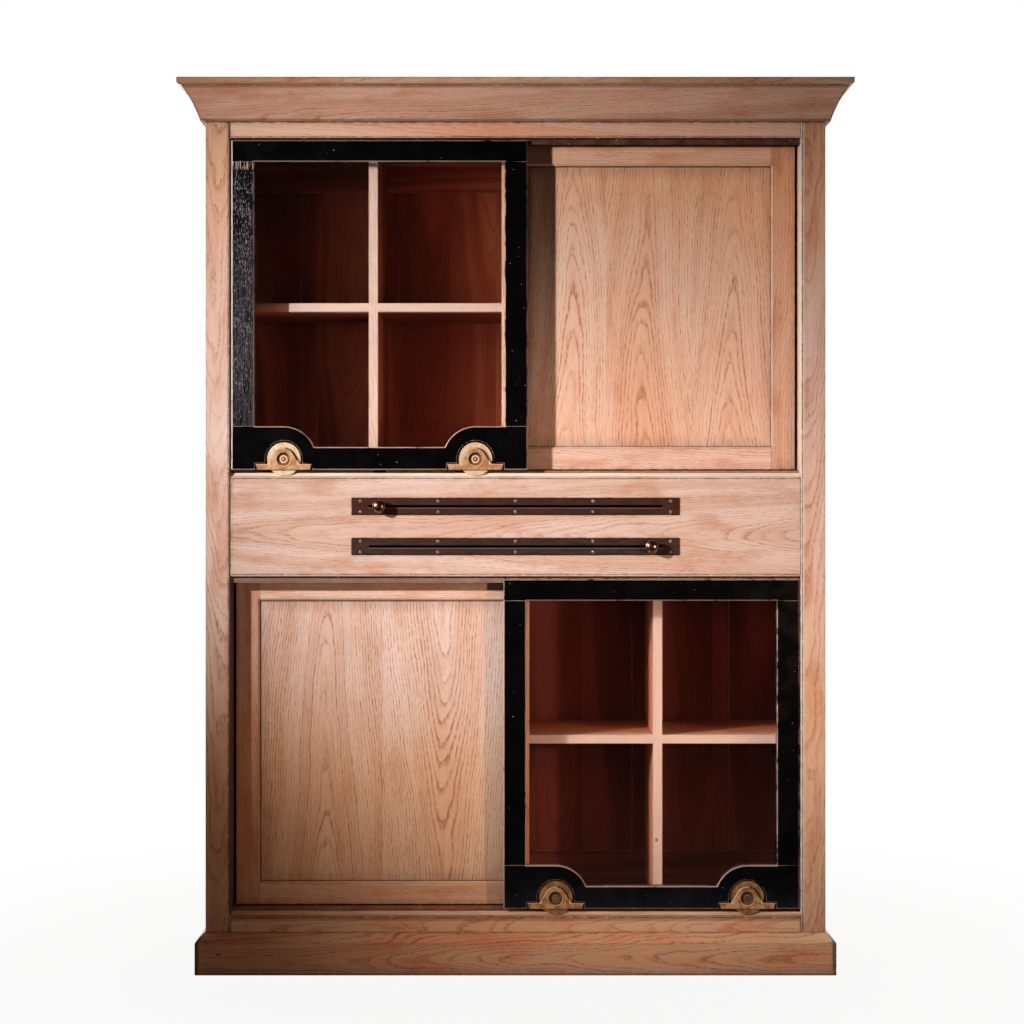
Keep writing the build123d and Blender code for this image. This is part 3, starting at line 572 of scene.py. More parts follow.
def facing_inward(node):
    """1 on the faces of a side's pieces that look into the room behind the doors."""
    def inside(t, place):
        across, depth, _ = t.split(place)
        inner = t.under(t.math("ABSOLUTE", across), INNER_FACES[node])
        if node == "rear_posts":
            inner = t.most(inner, t.under(depth, span(node, 1)[0] + FACE_MARGIN))
        return inner
    return inside


# -------- the case and the oak doors

CASE_LOOK = {"contrast": 1.2, "rim": 0.75}
CASE = {
    "left_front_post": dict(grain="z", heart=(-0.668, FRONT + 0.062, 0), stain_and_shade=post_shade_and_crack,
                            tint=(1.0, 1.02, 1.06), rim=0.5),
    "right_front_post": dict(grain="z", heart=(0.652, FRONT + 0.075, 0), painted_highlight=post_highlight,
                             tint=(1.0, 0.97, 0.96), rim=0.5),
    "rear_posts": dict(grain="z", heart=(0.3, 0.2, 0), inside=facing_inward("rear_posts")),
    "bottom_rail": dict(grain="x", heart=(0.10, FRONT + 0.060, 0), stain_and_shade=rail_stain,
                        tint=(1.24, 1.13, 1.05), contrast=1.3),
    "middle_fascia": dict(grain="x", heart=(0.985, FRONT + 0.036, 0), tint=(0.92, 0.93, 0.94),
                          stain_and_shade=tongue_shade(OPENINGS["lower"][1], 0.76), contrast=1.0, rim=0.3),
    "top_rail": dict(grain="x", heart=(1.92, FRONT + 0.050, 0), tint=(1.18, 1.1, 1.2),
                     stain_and_shade=tongue_shade(OPENINGS["upper"][1], 0.98), contrast=0.8, rim=0.3, blotch=0.2),
    "plinth_front": dict(grain="x", heart=(0.035, FRONT + 0.010, 0), stain_and_shade=plinth_dark_edges,
                         tint=(1.26, 1.07, 0.97), contrast=1.3, line=srgb(120, 54, 30)),
    "plinth_left": dict(grain="y", heart=(-0.70, 0.03, 0)),
    "plinth_right": dict(grain="y", heart=(0.70, 0.05, 0)),
    "cornice_front": dict(grain="x", heart=(1.90, FRONT + 0.035, 0), stain_and_shade=cornice_lines_and_shade,
                          tint=(1.06, 1.07, 1.2)),
    "cornice_left": dict(grain="y", heart=(-0.70, 1.93, 0), stain_and_shade=cornice_lines_and_shade),
    "cornice_right": dict(grain="y", heart=(0.70, 1.95, 0), stain_and_shade=cornice_lines_and_shade),
    "top_board": dict(grain="x", heart=(1.96, -0.05, 0)),
    "side_rails": dict(grain="y", heart=(0.0, 0.6, 0), inside=facing_inward("side_rails")),
}
for number, (node, look) in enumerate(CASE.items()):
    dress(node, oak(f"oak_{node}", seed=3.1 + 1.37 * number, **{**CASE_LOOK, **look}))

dress("side_panels", oak("oak_side_panels", "z", (0.0, 0.0, 0), 31.0, boards=(-1.0, 1.0, -1),
                         inside=facing_inward("side_panels")))
for tier in TIERS:
    dress(f"{tier}_sill", oak(f"oak_{tier}_sill", "x", (0.02, 0.3, 0), 58.0, tint=(0.6, 0.47, 0.38)))

# Each oak door's seed, its panel's number of boards and turned one, and the tints of its pieces
LEAVES = {
    "lower": dict(seed=41.0, boards=2, turned=1, panel=(1.09, 1.12, 1.14), rails=(1.09, 1.12, 1.14),
                  stiles=(0.86, 0.71, 0.63)),
    "upper": dict(seed=47.0, boards=3, turned=-1, panel=(1.13, 1.0, 0.89), rails=(1.04, 0.98, 0.95),
                  stiles=(0.86, 0.73, 0.63)),
}
for tier, leaf in LEAVES.items():
    panel = f"{tier}_oak_panel"
    low, high = span(panel, 0)
    depth = span(panel, 1)[0]
    seed = leaf["seed"]
    dress(panel, oak(f"oak_{tier}_panel", "z", (0.0, depth + 0.026, 0), seed, spacing=0.0062, taper=-0.09,
                     boards=(low, (high - low) / leaf["boards"], leaf["turned"]), tint=leaf["panel"],
                     stain_and_shade=seam_joint_and_shadow(panel), contrast=1.7, rim=0.0, blotch=0.3))
    dress(f"{tier}_oak_stiles", oak(f"oak_{tier}_stiles", "z", ((low + high) / 2, depth + 0.3, 0), seed + 2.0,
                                    tint=leaf["stiles"]))
    middle = sum(span(f"{tier}_oak_rails", 2)) / 2
    dress(f"{tier}_oak_rails", oak(f"oak_{tier}_rails", "x", (middle, depth + 0.2, 0), seed + 4.0,
                                   tint=leaf["rails"]))

# -------- interior wood

# What the stain's colour is multiplied by in the lower tier, and, as painted light, from the shaded left to
# the lit right of the upper one
LOWER_STAIN = (0.5, 0.36, 0.46)
UPPER_SHADED = (0.66, 0.62, 0.66)
UPPER_LIT = (1.62, 1.74, 1.74)
UPPER_FALL = (-0.60, -0.05)
TIER_BORDER = (0.95, 1.10)

# Edges that face the doors are bare to the first depth, and stained from the second on
BARE_EDGE = srgb(200, 168, 154)
BARE_DEPTH = (INTERIOR_FRONT + 0.015, INTERIOR_FRONT + 0.06)
FADED_DEPTH = (INTERIOR_FRONT + 0.08, INTERIOR_FRONT + 0.34)
SHELF_SHADOW_EDGE = -0.516

RAW_LIGHT = srgb(196, 152, 118)
RAW_DARK = srgb(176, 130, 99)
INNER_HEART = (0.02, 0.3, 0)
INNER_SPACING = 0.006
BACK_STILE_HALF = 0.048
BACK_RAIL_REVEAL = 0.063


def back_stile(t, place):
    """1 on the upright member in the middle of the back's frame, between its rails."""
    across, _, up = t.split(place)
    total = 0.0
    for tier in TIERS:
        low = span(f"{tier}_floor", 2)[1] + BACK_RAIL_REVEAL
        high = span(f"{tier}_ceiling", 2)[0] - BACK_RAIL_REVEAL
        total = t.plus(total, t.times(t.over(up, low), t.under(up, high)))
    return t.times(total, t.under(t.math("ABSOLUTE", across), BACK_STILE_HALF))


def bare_edges(t, row_place, wood, colour):
    """The stained colour with pale fronts on the shelves, dividers and posts."""
    across, depth, up = t.split(row_place)
    pale = t.mix(t.times(wood["Line"], 0.5), BARE_EDGE, OAK_LINE)
    pale = t.mix(t.remap(up, *TIER_BORDER, 0.2, 0.0), pale, OAK_PORE)
    pale = t.mix(knot(t, row_place, DIVIDER_KNOT), pale, OAK_DIRT_AND_SHADE)
    # Behind their fronts, the lower tier's shelves and dividers have lost some of the stain
    faded = t.times(t.remap(up, *TIER_BORDER, 0.42, 0.0), t.remap(depth, *FADED_DEPTH, 1.0, 0.45))
    colour = t.mix(faded, colour, OAK_AMBER)
    # Painted shadow: the upper shelf's front stays stained left of where the door's left stile casts its
    # shadow
    end = t.times(t.under(across, SHELF_SHADOW_EDGE), t.over(up, TIER_BORDER[1]), 0.9)
    return t.mix(t.times(t.remap(depth, *BARE_DEPTH, 1.0, 0.0), t.minus(1.0, end)), colour, pale)


def inner_wood(name, grain, seed, bare, boards=None, raw_behind=None, upright=None):
    """Red-brown stained wood. bare leaves it pale on the edges that face the doors.

    A back is raw wood behind the depth raw_behind. upright(t, place) is 1 where the grain stands up all
    the same.
    """
    material, t, shader = new_material(name, Specular_IOR_Level=0.15)
    row_place = t.place()
    place = along_grain(t, row_place, grain)
    if upright:
        place = t.mix(upright(t, row_place), place, row_place)
    if boards:
        place, _ = glued_boards(t, place, *boards, seed)
    wood = figure(t, place, INNER_HEART, seed, INNER_SPACING, LOG_TAPER)
    colour = stained(t, wood, wood["Tone"])
    across, depth, up = t.split(row_place)
    if bare:
        colour = bare_edges(t, row_place, wood, colour)
    else:
        # Painted light: the upper tier darker on the left and lighter on the right
        upper = t.mix(t.remap(across, *UPPER_FALL), UPPER_SHADED, UPPER_LIT)
        colour = t.mix(1.0, colour, t.mix(t.remap(up, *TIER_BORDER), LOWER_STAIN, upper), "MULTIPLY")
    if raw_behind is not None:
        raw = t.mix(t.remap(wood["Tone"], 0.3, 0.7), RAW_LIGHT, RAW_DARK)
        raw = t.mix(t.times(wood["Line"], 0.5), raw, OAK_PORE)
        colour = t.mix(t.over(depth, raw_behind), colour, raw)
    paint(t, shader, colour, t.remap(wood["Fibre"], 0.2, 0.8, 0.6, 0.75), t.bump(wood["Pore"], 0.1, -0.0003))
    return material


BACKS = {
    "back_frame": dict(raw_behind=span("back_frame", 1)[0] + 0.001, upright=back_stile),
    "back_panels": dict(raw_behind=span("back_panels", 1)[0] + 0.001, boards=(-0.64, 0.16, -1)),
}
for number, (node, grain) in enumerate((
    ("lower_lintel", "x"), ("upper_lintel", "x"),
    ("lower_floor", "x"), ("upper_floor", "x"), ("lower_ceiling", "x"), ("upper_ceiling", "x"),
    ("lower_dividers", "z"), ("upper_dividers", "z"), ("centre_posts", "z"),
    ("lower_shelves", "x"), ("upper_shelves", "x"), ("back_frame", "x"), ("back_panels", "z"),
)):
    bare = node.endswith(("dividers", "posts", "shelves"))
    dress(node, inner_wood(f"inner_{node}", grain, 60.0 + 1.9 * number, bare, **BACKS.get(node, {})))


def plain_wood(name, light, dark):
    """Fine-grained hardwood for a track."""
    material, t, shader = new_material(name, Specular_IOR_Level=0.3)
    place = along_grain(t, t.place(), "x")
    grain = t.noise(t.stretch(place, (300.0, 300.0, 9.0)), 1.0, 3.0)
    colour = t.mix(t.remap(grain, 0.3, 0.7), light, dark)
    paint(t, shader, colour, t.remap(grain, 0.2, 0.8, 0.4, 0.55))
    return material


dress("upper_track", plain_wood("track_upper", srgb(254, 240, 216), srgb(240, 208, 176)))
dress("lower_track", plain_wood("track_lower", srgb(250, 212, 184), srgb(222, 164, 126)))

# -------- black lacquer

LACQUER = srgb(5, 4, 5)
WORN = srgb(226, 182, 164)
SHEEN = srgb(78, 72, 76)
SPECK_AND_GLINT = srgb(190, 180, 182)
BARE_LIT_ARRIS = srgb(250, 236, 228)
LACQUER_ARRIS = 0.0016
BARE_WIDTH = (0.0016, 0.0028)
SCRATCH_BAND = (0.020, 0.012)


def lacquer(name, grain, seed, wear, bare, painted_sheen=None, bright_side=None):
    """Black lacquer over open-grained wood, worn on the arrises.

    wear and bare, how much of the arrises is worn and how far through, go up to 1. painted_sheen holds the
    top and the middle height of a stile with open grain that gets a painted sheen and painted glints, and
    bright_side is the place across of an outer arris that is worn bare and has a painted highlight.
    """
    material, t, shader = new_material(name, Specular_IOR_Level=0.4)
    row_place = t.place()
    across, _, up = t.split(row_place)
    place = t.vector("ADD", along_grain(t, row_place, grain), (seed, seed * 0.7, seed * 1.3))
    # The eased arrises lie askew to the three axes
    normal = t.vector("ABSOLUTE", t.add("ShaderNodeNewGeometry").outputs["Normal"])
    x, y, z = t.split(normal)
    askew = t.times(t.under(t.most(x, y, z), 0.93), t.over(y, 0.25))
    patches = t.noise(place, 24.0, 3.0, 0.6)
    ragged = t.noise(t.stretch(place, (420.0, 420.0, 90.0)), 1.0, 3.0)
    rub = t.plus(t.times(patches, 0.65), t.times(ragged, 0.35))
    sound = 0.62 - 0.32 * wear
    worn = t.times(askew, t.remap(rub, sound, sound + 0.1))
    edge = t.remap(t.edges(LACQUER_ARRIS), 0.02, 0.12)
    chips = t.times(edge, t.remap(rub, sound + 0.06, sound + 0.14))
    worn = t.times(t.most(worn, chips), bare)
    specks = t.remap(t.noise(place, 190.0, 1.0), 0.79, 0.83)
    colour = LACQUER
    if painted_sheen:
        top, middle = painted_sheen
        # Painted sheen: grey streaks along the grain, strongest from the middle of the stile down
        streaks = t.noise(t.stretch(place, (560.0, 560.0, 14.0)), 1.0, 3.0, 0.6)
        sheen_fade = t.remap(up, middle - 0.05, top - 0.10, 0.85, 0.15)
        colour = t.mix(t.times(t.remap(streaks, 0.36, 0.66), sheen_fade), colour, SHEEN)
        # Painted glints: pale dashes along the grain, more toward the top
        glints = t.noise(t.stretch(place, (900.0, 900.0, 110.0)), 1.0, 1.0)
        glints = t.remap(t.plus(glints, t.times(patches, 0.25)), 0.72, 0.82)
        colour = t.mix(t.times(glints, t.remap(up, middle - 0.25, top, 0.5, 0.95)), colour, SPECK_AND_GLINT)
        scratches = t.remap(t.noise(t.stretch(place, (330.0, 330.0, 22.0)), 1.0, 1.0), 0.5, 0.6)
        band = t.times(t.remap(up, top - SCRATCH_BAND[0], top - SCRATCH_BAND[1]), scratches)
        colour = t.mix(t.times(band, 0.8), colour, WORN)
    colour = t.mix(t.times(specks, 0.7), colour, SPECK_AND_GLINT)
    colour = t.mix(t.times(worn, 0.92), colour, WORN)
    # Painted highlight on the outer arris that faces the light, which is worn bare as well
    if bright_side is not None:
        arris = t.remap(across, bright_side + BARE_WIDTH[0], bright_side + BARE_WIDTH[1], 0.95, 0.0)
        colour = t.mix(t.times(arris, t.remap(rub, 0.3, 0.42, 0.5, 1.0)), colour, BARE_LIT_ARRIS)
    paint(t, shader, colour, t.plus(t.remap(patches, 0.3, 0.7, 0.14, 0.24), t.times(worn, 0.3)))
    return material


# Each piece of a glazed door with its grain, wear and bareness
LACQUERED = (("bottom_rail", "x", 0.9, 0.8), ("top_rail", "x", 0.85, 0.5),
             ("left_stile", "z", 0.85, 0.9), ("right_stile", "z", 0.6, 0.6))
low, high = span("upper_door_left_stile", 2)
STILE_HEIGHTS = (high, (low + high) / 2)
for tier, first_seed in (("lower", 0.0), ("upper", 20.0)):
    bright_side = span("upper_door_left_stile", 0)[0] if tier == "upper" else None
    for number, (part, grain, wear, bare) in enumerate(LACQUERED):
        painted_sheen = STILE_HEIGHTS if (tier, part) == ("upper", "left_stile") else None
        dress(f"{tier}_door_{part}", lacquer(f"lacquer_{tier}_{part}", grain, first_seed + 5.0 * number,
                                             wear, bare, painted_sheen, bright_side))

# -------- metals

METAL_ARRIS = 0.0012
METAL_CORNER = 0.004


def metal(name, light, dark, tarnish_and_shade, rough=0.35, scale=70.0, metallic=1.0, shine=None, stain_and_shade=None):
    """Old metal, worn bright on the edges and dark in the corners.

    shine(t, place) gives painted highlights in the edges' stead, and stain_and_shade(t, place) adds painted
    shade.
    """
    material, t, shader = new_material(name, Metallic=metallic)
    place = t.place()
    cloud = t.noise(place, scale, 4.0, 0.6)
    colour = t.mix(t.remap(cloud, 0.38, 0.62), light, dark)
    if shine:
        bright = shine(t, place)
    else:
        bright = t.times(t.remap(t.edges(METAL_ARRIS), 0.02, 0.25), 0.85)
    corner = t.remap(t.occlusion(METAL_CORNER), 0.4, 0.95, 0.85, 0.0)
    # Painted shade, where given, darkens like the tarnish
    if stain_and_shade:
        corner = t.most(corner, stain_and_shade(t, place))
    colour = t.mix(corner, colour, tarnish_and_shade)
    colour = t.mix(bright, colour, [min(1.0, 1.3 * c + 0.08) for c in light])
    rough = t.remap(cloud, 0.3, 0.7, rough - 0.08, rough + 0.12)
    paint(t, shader, colour, rough, t.bump(t.noise(place, scale * 9, 2.0), 0.15, 0.0003))
    return material


def hub_of(tier, hand):
    """Centre of a roller, across and up."""
    (x0, x1), (z0, z1) = (span(f"{tier}_{hand}_roller", axis) for axis in (0, 2))
    return (x0 + x1) / 2, (z0 + z1) / 2


# Radii of the bracket's hub: rivet, dimple, hub face, cup and the cup's lip
RIVET_RADIUS = 0.0038
DIMPLE_RADIUS = 0.0056
HUB_RADIUS = 0.0090
CUP_RADIUS = 0.0155
LIP_RADIUS = 0.0172

# The bell of a bracket, and its wings below and beside the hub
BELL_RADIUS = 0.026
FLANK_ANGLE = math.radians(29.5)
WING_DROP = 0.0110
WING_START = 0.030
# Widths of the painted highlight on the bell's left outline and of the painted shadow on its right one
BRIGHT_OUTLINE = 0.0022
DARK_OUTLINE = 0.0030
HUB_OUTLINE = 0.0016


class Hub:
    """Masks about the nearer hub of a tier's two brackets."""

    def __init__(self, t, place, tier):
        self.t = t
        (left, self.up), (right, _) = hub_of(tier, "left"), hub_of(tier, "right")
        across, _, up = t.split(place)
        nearer = t.over(across, (left + right) / 2)
        across = t.minus(across, t.plus(left, t.times(nearer, right - left)))
        self.across = across
        self.above = t.minus(up, self.up)
        self.away = t.vector("LENGTH", t.combine(across, 0.0, self.above))
        # 1 at the upper left of the hub, where the light comes from, and -1 at the lower right
        lean = t.minus(self.above, across)
        self.lit = t.math("DIVIDE", lean, t.times(self.away, math.sqrt(2)))

    def band(self, low, high):
        """A ring between two radii."""
        t = self.t
        return t.times(t.over(self.away, low), t.under(self.away, high))

    def outline(self, width):
        """Left and right outline of the bell, as two masks."""
        t = self.t
        aside = t.math("ABSOLUTE", self.across)
        flank = t.plus(t.times(aside, math.cos(FLANK_ANGLE)), t.times(self.above, math.sin(FLANK_ANGLE)))
        round_part = t.over(self.above, t.times(aside, math.tan(FLANK_ANGLE)))
        reach = t.plus(flank, t.times(round_part, t.minus(self.away, flank)))
        rim = t.remap(reach, BELL_RADIUS - width, BELL_RADIUS - 0.7 * width)
        rim = t.times(rim, t.over(self.above, -WING_DROP))
        right = t.times(rim, t.over(self.across, 0.004))
        return t.minus(rim, right), right


def bracket_shine(tier):
    """Painted highlights: the bell's left outline and the wings' tops, which face the light, a lip at the
    lower right of the cup, and the hub's face, brightest in the upper tier.
    """
    def shine(t, place):
        hub = Hub(t, place, tier)
        left, _ = hub.outline(BRIGHT_OUTLINE)
        wing = t.times(t.remap(hub.above, -WING_DROP - 0.0016, -WING_DROP - 0.0008),
                       t.over(t.math("ABSOLUTE", hub.across), WING_START))
        lip = t.times(hub.band(CUP_RADIUS, LIP_RADIUS), t.remap(hub.lit, -0.7, 0.5, 1.0, 0.1))
        face = t.times(hub.band(DIMPLE_RADIUS, HUB_RADIUS), 0.9 if tier == "upper" else 0.1)
        return t.most(t.times(t.most(left, wing), 0.85), lip, face)
    return shine


def bracket_shade(tier):
    """Painted shade in the cup, deepest at its upper left, and round the rivet, and a painted shadow down the
    bell's right flank, which faces away from the light.
    """
    def stain_and_shade(t, place):
        hub = Hub(t, place, tier)
        _, right = hub.outline(DARK_OUTLINE)
        cup = t.times(hub.band(HUB_RADIUS, CUP_RADIUS), t.remap(hub.lit, -0.8, 0.5, 0.4, 0.95))
        dimple = t.times(hub.band(RIVET_RADIUS, DIMPLE_RADIUS), 0.8)
        total = t.most(t.times(right, 0.85), cup, dimple)
        if tier == "lower":
            total = t.most(total, t.times(hub.band(0.0, HUB_RADIUS), 0.5),
                           t.times(hub.band(HUB_RADIUS - HUB_OUTLINE, HUB_RADIUS), 0.85))
        return total
    return stain_and_shade


# From a strap's end to its slot, and the places below the slot's middle between which the lip has a painted
# highlight
SLOT_LAND = 0.0375
SLOT_LIP = ((0.0022, 0.0026), (0.0040, 0.0046))
STRAP_RIM = (0.0005, 0.0035)


def slot_lip_highlight(t, place, middle, reach):
    """0 to 1 along the lower lip of a strap's slot, which reaches out to both sides of the centre: a painted
    highlight.
    """
    across, _, up = t.split(place)
    below = t.minus(middle, up)
    lip = t.times(t.remap(below, *SLOT_LIP[0]), t.remap(below, *SLOT_LIP[1], 1.0, 0.0))
    return t.times(lip, t.under(t.math("ABSOLUTE", across), reach))


def strap_metal(tier):
    """Dark bronze, darkest along its outer edges, with a painted highlight on the lip under the slot."""
    material, t, shader = new_material(f"strap_{tier}", Metallic=0.35, Specular_IOR_Level=0.3)
    place = t.place()
    z0, z1 = span(f"{tier}_slotted_strap", 2)
    reach = span(f"{tier}_slotted_strap", 0)[1] - SLOT_LAND
    light, dark = {"upper": (srgb(82, 42, 26), srgb(58, 27, 16)),
                   "lower": (srgb(78, 49, 37), srgb(54, 32, 24))}[tier]
    cloud = t.noise(t.stretch(place, (26.0, 60.0, 90.0)), 1.0, 4.0, 0.6)
    colour = t.mix(t.remap(cloud, 0.35, 0.65), light, dark)
    _, _, up = t.split(place)
    inward = t.minus((z1 - z0) / 2, t.math("ABSOLUTE", t.minus(up, (z0 + z1) / 2)))
    colour = t.mix(t.remap(inward, *STRAP_RIM, 0.8, 0.0), colour, srgb(26, 10, 8))
    lip = slot_lip_highlight(t, place, (z0 + z1) / 2, reach)
    colour = t.mix(t.times(lip, 0.45), colour, srgb(205, 160, 140))
    rough = t.remap(cloud, 0.3, 0.7, 0.45, 0.62)
    paint(t, shader, colour, rough, t.bump(t.noise(place, 500.0, 2.0), 0.12, 0.0003))
    return material


knob_brass = metal("knob_brass", srgb(168, 122, 104), srgb(84, 48, 38), srgb(24, 8, 6), 0.26, 110.0)
steel = metal("screw_steel", srgb(196, 178, 170), srgb(120, 98, 90), srgb(36, 20, 16), 0.34, 420.0, 0.6)
iron = metal("arm_iron", srgb(50, 44, 42), srgb(26, 22, 20), srgb(12, 8, 8), 0.55)

for tier in TIERS:
    light, dark = {"upper": (srgb(232, 182, 136), srgb(190, 122, 78)),
                   "lower": (srgb(214, 162, 110), srgb(152, 98, 56))}[tier]
    brass = metal(f"bracket_{tier}", light, dark, srgb(44, 18, 10), 0.5, 60.0, 0.5,
                  shine=bracket_shine(tier), stain_and_shade=bracket_shade(tier))
    light, dark = {"upper": (srgb(252, 228, 192), srgb(232, 186, 140)),
                   "lower": (srgb(184, 134, 84), srgb(138, 92, 54))}[tier]
    roller_brass = metal(f"roller_{tier}", light, dark, srgb(60, 28, 14), 0.5, metallic=0.55)
    dress(f"{tier}_roller_brackets", brass)
    dress(f"{tier}_slotted_strap", strap_metal(tier))
    dress(f"{tier}_knob", knob_brass)
    dress(f"{tier}_handle_arm", iron)
    for hand in ("left", "right"):
        dress(f"{tier}_{hand}_roller", roller_brass)

# -------- glass


def pane_glass():
    """Thin old glass that the lamps shine through."""
    material, t, shader = new_material("pane", Transmission_Weight=1.0, Roughness=0.0, IOR=1.45)
    t.put(shader.inputs["Base Color"], srgb(250, 252, 250))
    output = t.tree.nodes["Material Output"]
    clear = t.add("ShaderNodeBsdfTransparent")
    mix = t.add("ShaderNodeMixShader")
    t.put(mix.inputs[0], t.add("ShaderNodeLightPath").outputs["Is Shadow Ray"])
    t.put(mix.inputs[1], shader.outputs[0])
    t.put(mix.inputs[2], clear.outputs[0])
    t.put(output.inputs[0], mix.outputs[0])
    return material


pane = pane_glass()
for tier in TIERS:
    dress(f"{tier}_door_glass", pane)

# -------- strap screws


def lathe(name, profile, centre, segments=24):
    """A turned piece about a line along y.

    profile holds radii and how far in front of the centre each lies, from the middle of the face outward.
    """
    mesh = bpy.data.meshes.new(name)
    form = bmesh.new()
    rings = []
    for radius, proud in profile:
        if radius == 0:
            rings.append([form.verts.new((0, -proud, 0))])
            continue
        turn = [2 * math.pi * k / segments for k in range(segments)]
        rings.append([form.verts.new((radius * math.cos(a), -proud, radius * math.sin(a))) for a in turn])
    for inner, outer in zip(rings[:-1], rings[1:]):
        for k in range(segments):
            n = (k + 1) % segments
            if len(inner) == 1:
                corners = [outer[k], outer[n], inner[0]]
            else:
                corners = [inner[k], outer[k], outer[n], inner[n]]
            form.faces.new(corners)
    bmesh.ops.recalc_face_normals(form, faces=form.faces)
    form.to_mesh(mesh)
    form.free()
    mesh.shade_smooth()
    piece = bpy.data.objects.new(name, mesh)
    mesh.transform(Matrix.Translation(centre))
    scene.collection.objects.link(piece)
    return piece


SCREW_HEAD = [(0, 0.0008), (0.0008, 0.0008), (0.0012, 0.0021), (0.0024, 0.0018), (0.0035, 0.0010),
              (0.0040, -0.0004)]
SCREW_ROW = 0.012
SCREW_COLUMNS = 5
SCREW_END = 0.0195

for tier in TIERS:
    (x0, x1), (y0, _), (z0, z1) = (span(f"{tier}_slotted_strap", axis) for axis in range(3))
    middle = (z0 + z1) / 2
    for column in range(SCREW_COLUMNS):
        x = x0 + SCREW_END + column * (x1 - x0 - 2 * SCREW_END) / (SCREW_COLUMNS - 1)
        for row, word in ((-SCREW_ROW, "low"), (SCREW_ROW, "high")):
            screw = lathe(f"{tier}_strap_screw_{word}_{column + 1}", SCREW_HEAD, (x, y0, middle + row))
            screw.data.materials.append(steel)
            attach(screw, "cabinet")

# -------- rivet heads and knob domes

RIVET_HEAD = [(0, 0.0017), (0.0014, 0.0015), (0.0026, 0.0009), (0.0034, -0.0002), (0.0036, -0.0012)]
KNOB_DOME = [(0, 0.0040), (0.0030, 0.0038), (0.0060, 0.0032), (0.0090, 0.0021), (0.0115, 0.0006),
             (0.0132, -0.0008), (0.0144, -0.0024), (0.0149, -0.0042), (0.0149, -0.0062), (0.0144, -0.0078)]

for tier in TIERS:
    for hand in ("left", "right"):
        x, z = hub_of(tier, hand)
        rivet = lathe(f"{tier}_{hand}_rivet_head", RIVET_HEAD, (x, FRONT + 0.0010, z))
        rivet.data.materials.append(nodes[f"{tier}_roller_brackets"].material_slots[0].material)
        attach(rivet, f"{tier}_glazed_door")
    (x0, x1), (face, _), (z0, z1) = (span(f"{tier}_knob", axis) for axis in range(3))
    dome = lathe(f"{tier}_knob_dome", KNOB_DOME, ((x0 + x1) / 2, face, (z0 + z1) / 2), 40)
    dome.data.materials.append(knob_brass)
    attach(dome, f"{tier}_glazed_door")

# -------- floor and world

# Brightness of the dim room in front of the cabinet, and the places between which its floor ends
ROOM = 0.02
ROOM_FLOOR = (-1.2, -0.2)

FLOOR_HALF = 30.0
FLOOR_COLOUR = (0.17, 0.13, 0.1)
FLOOR_FADE = (0.6, 2.2)


def sight(t):
    """Two masks: rays that meet the background straight or through glass, and glossy ones."""
    path = t.add("ShaderNodeLightPath").outputs
    # Light that has already met a surface behind the glass comes from the room, not from the background
    met = t.plus(path["Diffuse Depth"], path["Glossy Depth"])
    through = t.times(path["Is Transmission Ray"], t.under(met, 0.5))
    straight = t.most(path["Is Camera Ray"], through)
    gloss = t.times(path["Is Glossy Ray"], t.minus(1.0, path["Is Transmission Ray"]))
    return straight, gloss


def floor_gloss(t, ahead):
    """What lies before the front is the dim room's floor to anything glossy."""
    level = t.remap(ahead, *ROOM_FLOOR, ROOM, 1.0)
    return t.combine(level, level, level)


floor_mesh = bpy.data.meshes.new("floor")
floor_form = bmesh.new()
bmesh.ops.create_grid(floor_form, x_segments=1, y_segments=1, size=FLOOR_HALF)
floor_form.to_mesh(floor_mesh)
floor_form.free()
floor = bpy.data.objects.new("floor", floor_mesh)
scene.collection.objects.link(floor)
floor_material = bpy.data.materials.new("floor")
floor_material.use_nodes = True
t = Tree(floor_material.node_tree)
t.tree.nodes.clear()
diffuse = t.add("ShaderNodeBsdfDiffuse")
t.put(diffuse.inputs["Color"], FLOOR_COLOUR)
glow = t.add("ShaderNodeEmission")
blend = t.add("ShaderNodeMixShader")
# The shadow shows near the object, and further out the floor is as white as the background
reach = t.vector("LENGTH", t.place())
aside, ahead, _ = t.split(t.place())
# No light comes in under the cabinet
beneath = t.times(t.under(t.math("ABSOLUTE", aside), POST_INNER), t.over(ahead, FRONT),
                  t.under(ahead, REAR))
straight, gloss = sight(t)
t.put(glow.inputs["Color"], t.mix(gloss, (1.0, 1.0, 1.0), floor_gloss(t, ahead)))
seen = t.most(straight, gloss)
glowing = t.times(seen, t.remap(reach, *FLOOR_FADE, 0.93, 1.0))
t.put(blend.inputs[0], t.times(glowing, t.minus(1.0, beneath)))
t.put(blend.inputs[1], diffuse.outputs[0])
t.put(blend.inputs[2], glow.outputs[0])
t.put(t.add("ShaderNodeOutputMaterial").inputs[0], blend.outputs[0])
floor_mesh.materials.append(floor_material)

AMBIENT = (0.010, 0.004, 0.002)
world = bpy.data.worlds.new("studio")
scene.world = world
world.use_nodes = True
t = Tree(world.node_tree)
t.tree.nodes.clear()
level = t.add("ShaderNodeBackground")
straight, glossy = sight(t)
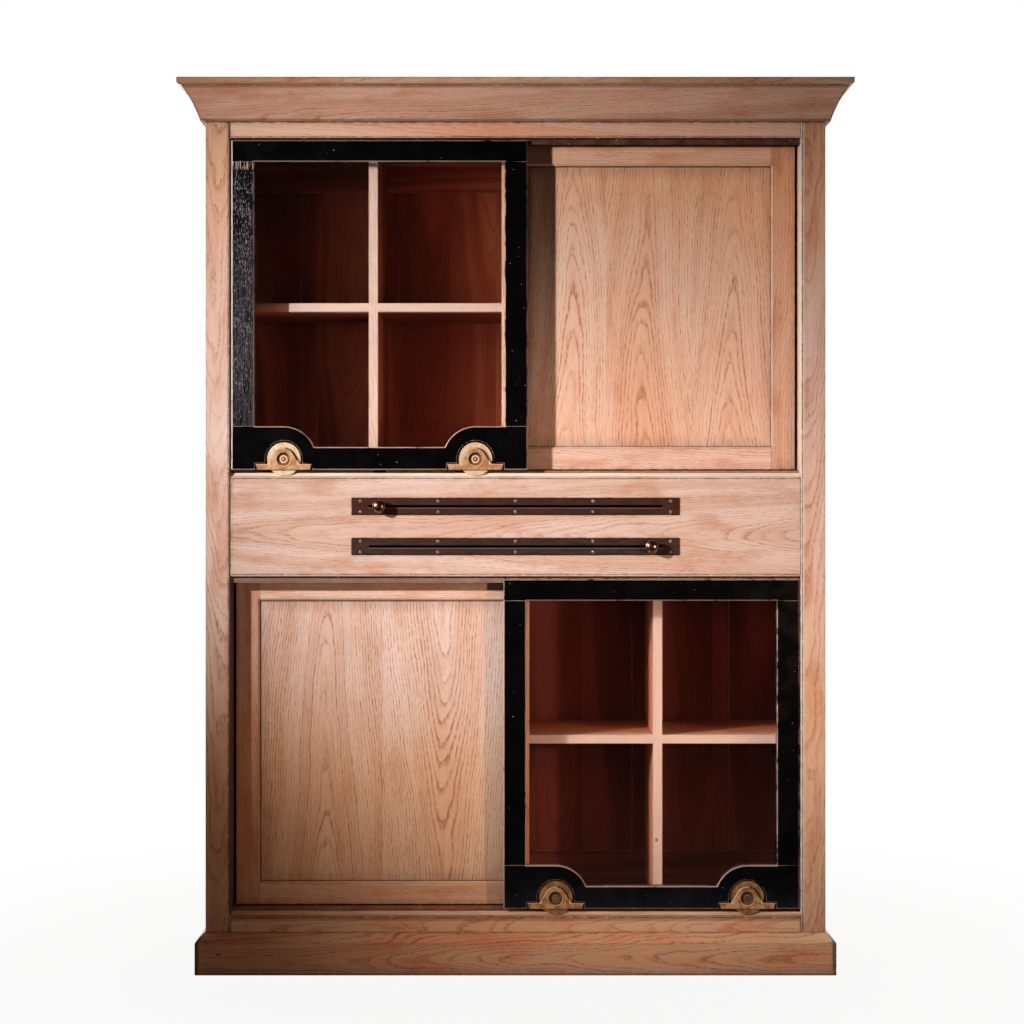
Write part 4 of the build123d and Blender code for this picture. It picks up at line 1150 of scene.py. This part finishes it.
# Gloss on the front meets the dim room behind the camera, and not the white background
_, toward, _ = t.split(t.add("ShaderNodeTexCoord").outputs["Generated"])
gloss = t.remap(toward, -0.25, 0.15, ROOM, 1.0)
strength = t.mix(glossy, AMBIENT, t.combine(gloss, gloss, gloss))
t.put(level.inputs["Color"], t.mix(straight, strength, (1.0, 1.0, 1.0)))
t.put(t.add("ShaderNodeOutputWorld").inputs[0], level.outputs[0])


# -------- lamps


def lamp(name, kind, place, target, power, **settings):
    """One lamp that points at a target. settings are the light's own."""
    data = bpy.data.lights.new(name, kind)
    data.energy = power
    for key, value in settings.items():
        setattr(data, key, value)
    item = bpy.data.objects.new(name, data)
    item.location = place
    item.rotation_euler = (Vector(target) - Vector(place)).to_track_quat("-Z", "Y").to_euler()
    scene.collection.objects.link(item)


def beam(name, place, target, power, degrees, colour=(1.0, 1.0, 1.0)):
    """A spot with a soft edge all the way to its middle."""
    lamp(name, "SPOT", place, target, power, color=colour, spot_size=math.radians(degrees), spot_blend=1.0,
         shadow_soft_size=0.08)


# The key stands at the upper left. Its two beams cross the front from there to the lower right.
# A weaker, warmer lamp stands low at the right.
# The soft lamps behind the front light the sides, the back and the top, and not the front.
KEY_PLACE = (-2.3, FRONT - 2.05, 1.86)
FILL_PLACE = (1.95, FRONT - 2.6, 0.9)
FILL_COLOUR = (1.0, 0.74, 0.54)
beam("key_low", KEY_PLACE, (1.88, FRONT, 0.04), 240.0, 49.5)
beam("key_high", KEY_PLACE, (-0.03, FRONT, 1.29), 385.0, 42.6)
beam("fill", FILL_PLACE, (0.12, FRONT, 0.76), 130.0, 33.7, FILL_COLOUR)
lamp("right_side", "AREA", (3.2, 0.9, 1.7), (0.7, 0.0, 1.0), 80.0, size=1.6)
lamp("left_side", "AREA", (-3.2, 1.3, 1.7), (-0.7, 0.0, 1.0), 62.0, size=1.6)
lamp("back", "AREA", (-0.8, 3.6, 1.8), (0.0, 0.2, 1.0), 62.0, size=2.0)
lamp("top", "AREA", (0.3, 1.6, 4.2), (0.0, 0.1, 1.5), 85.0, size=1.6)
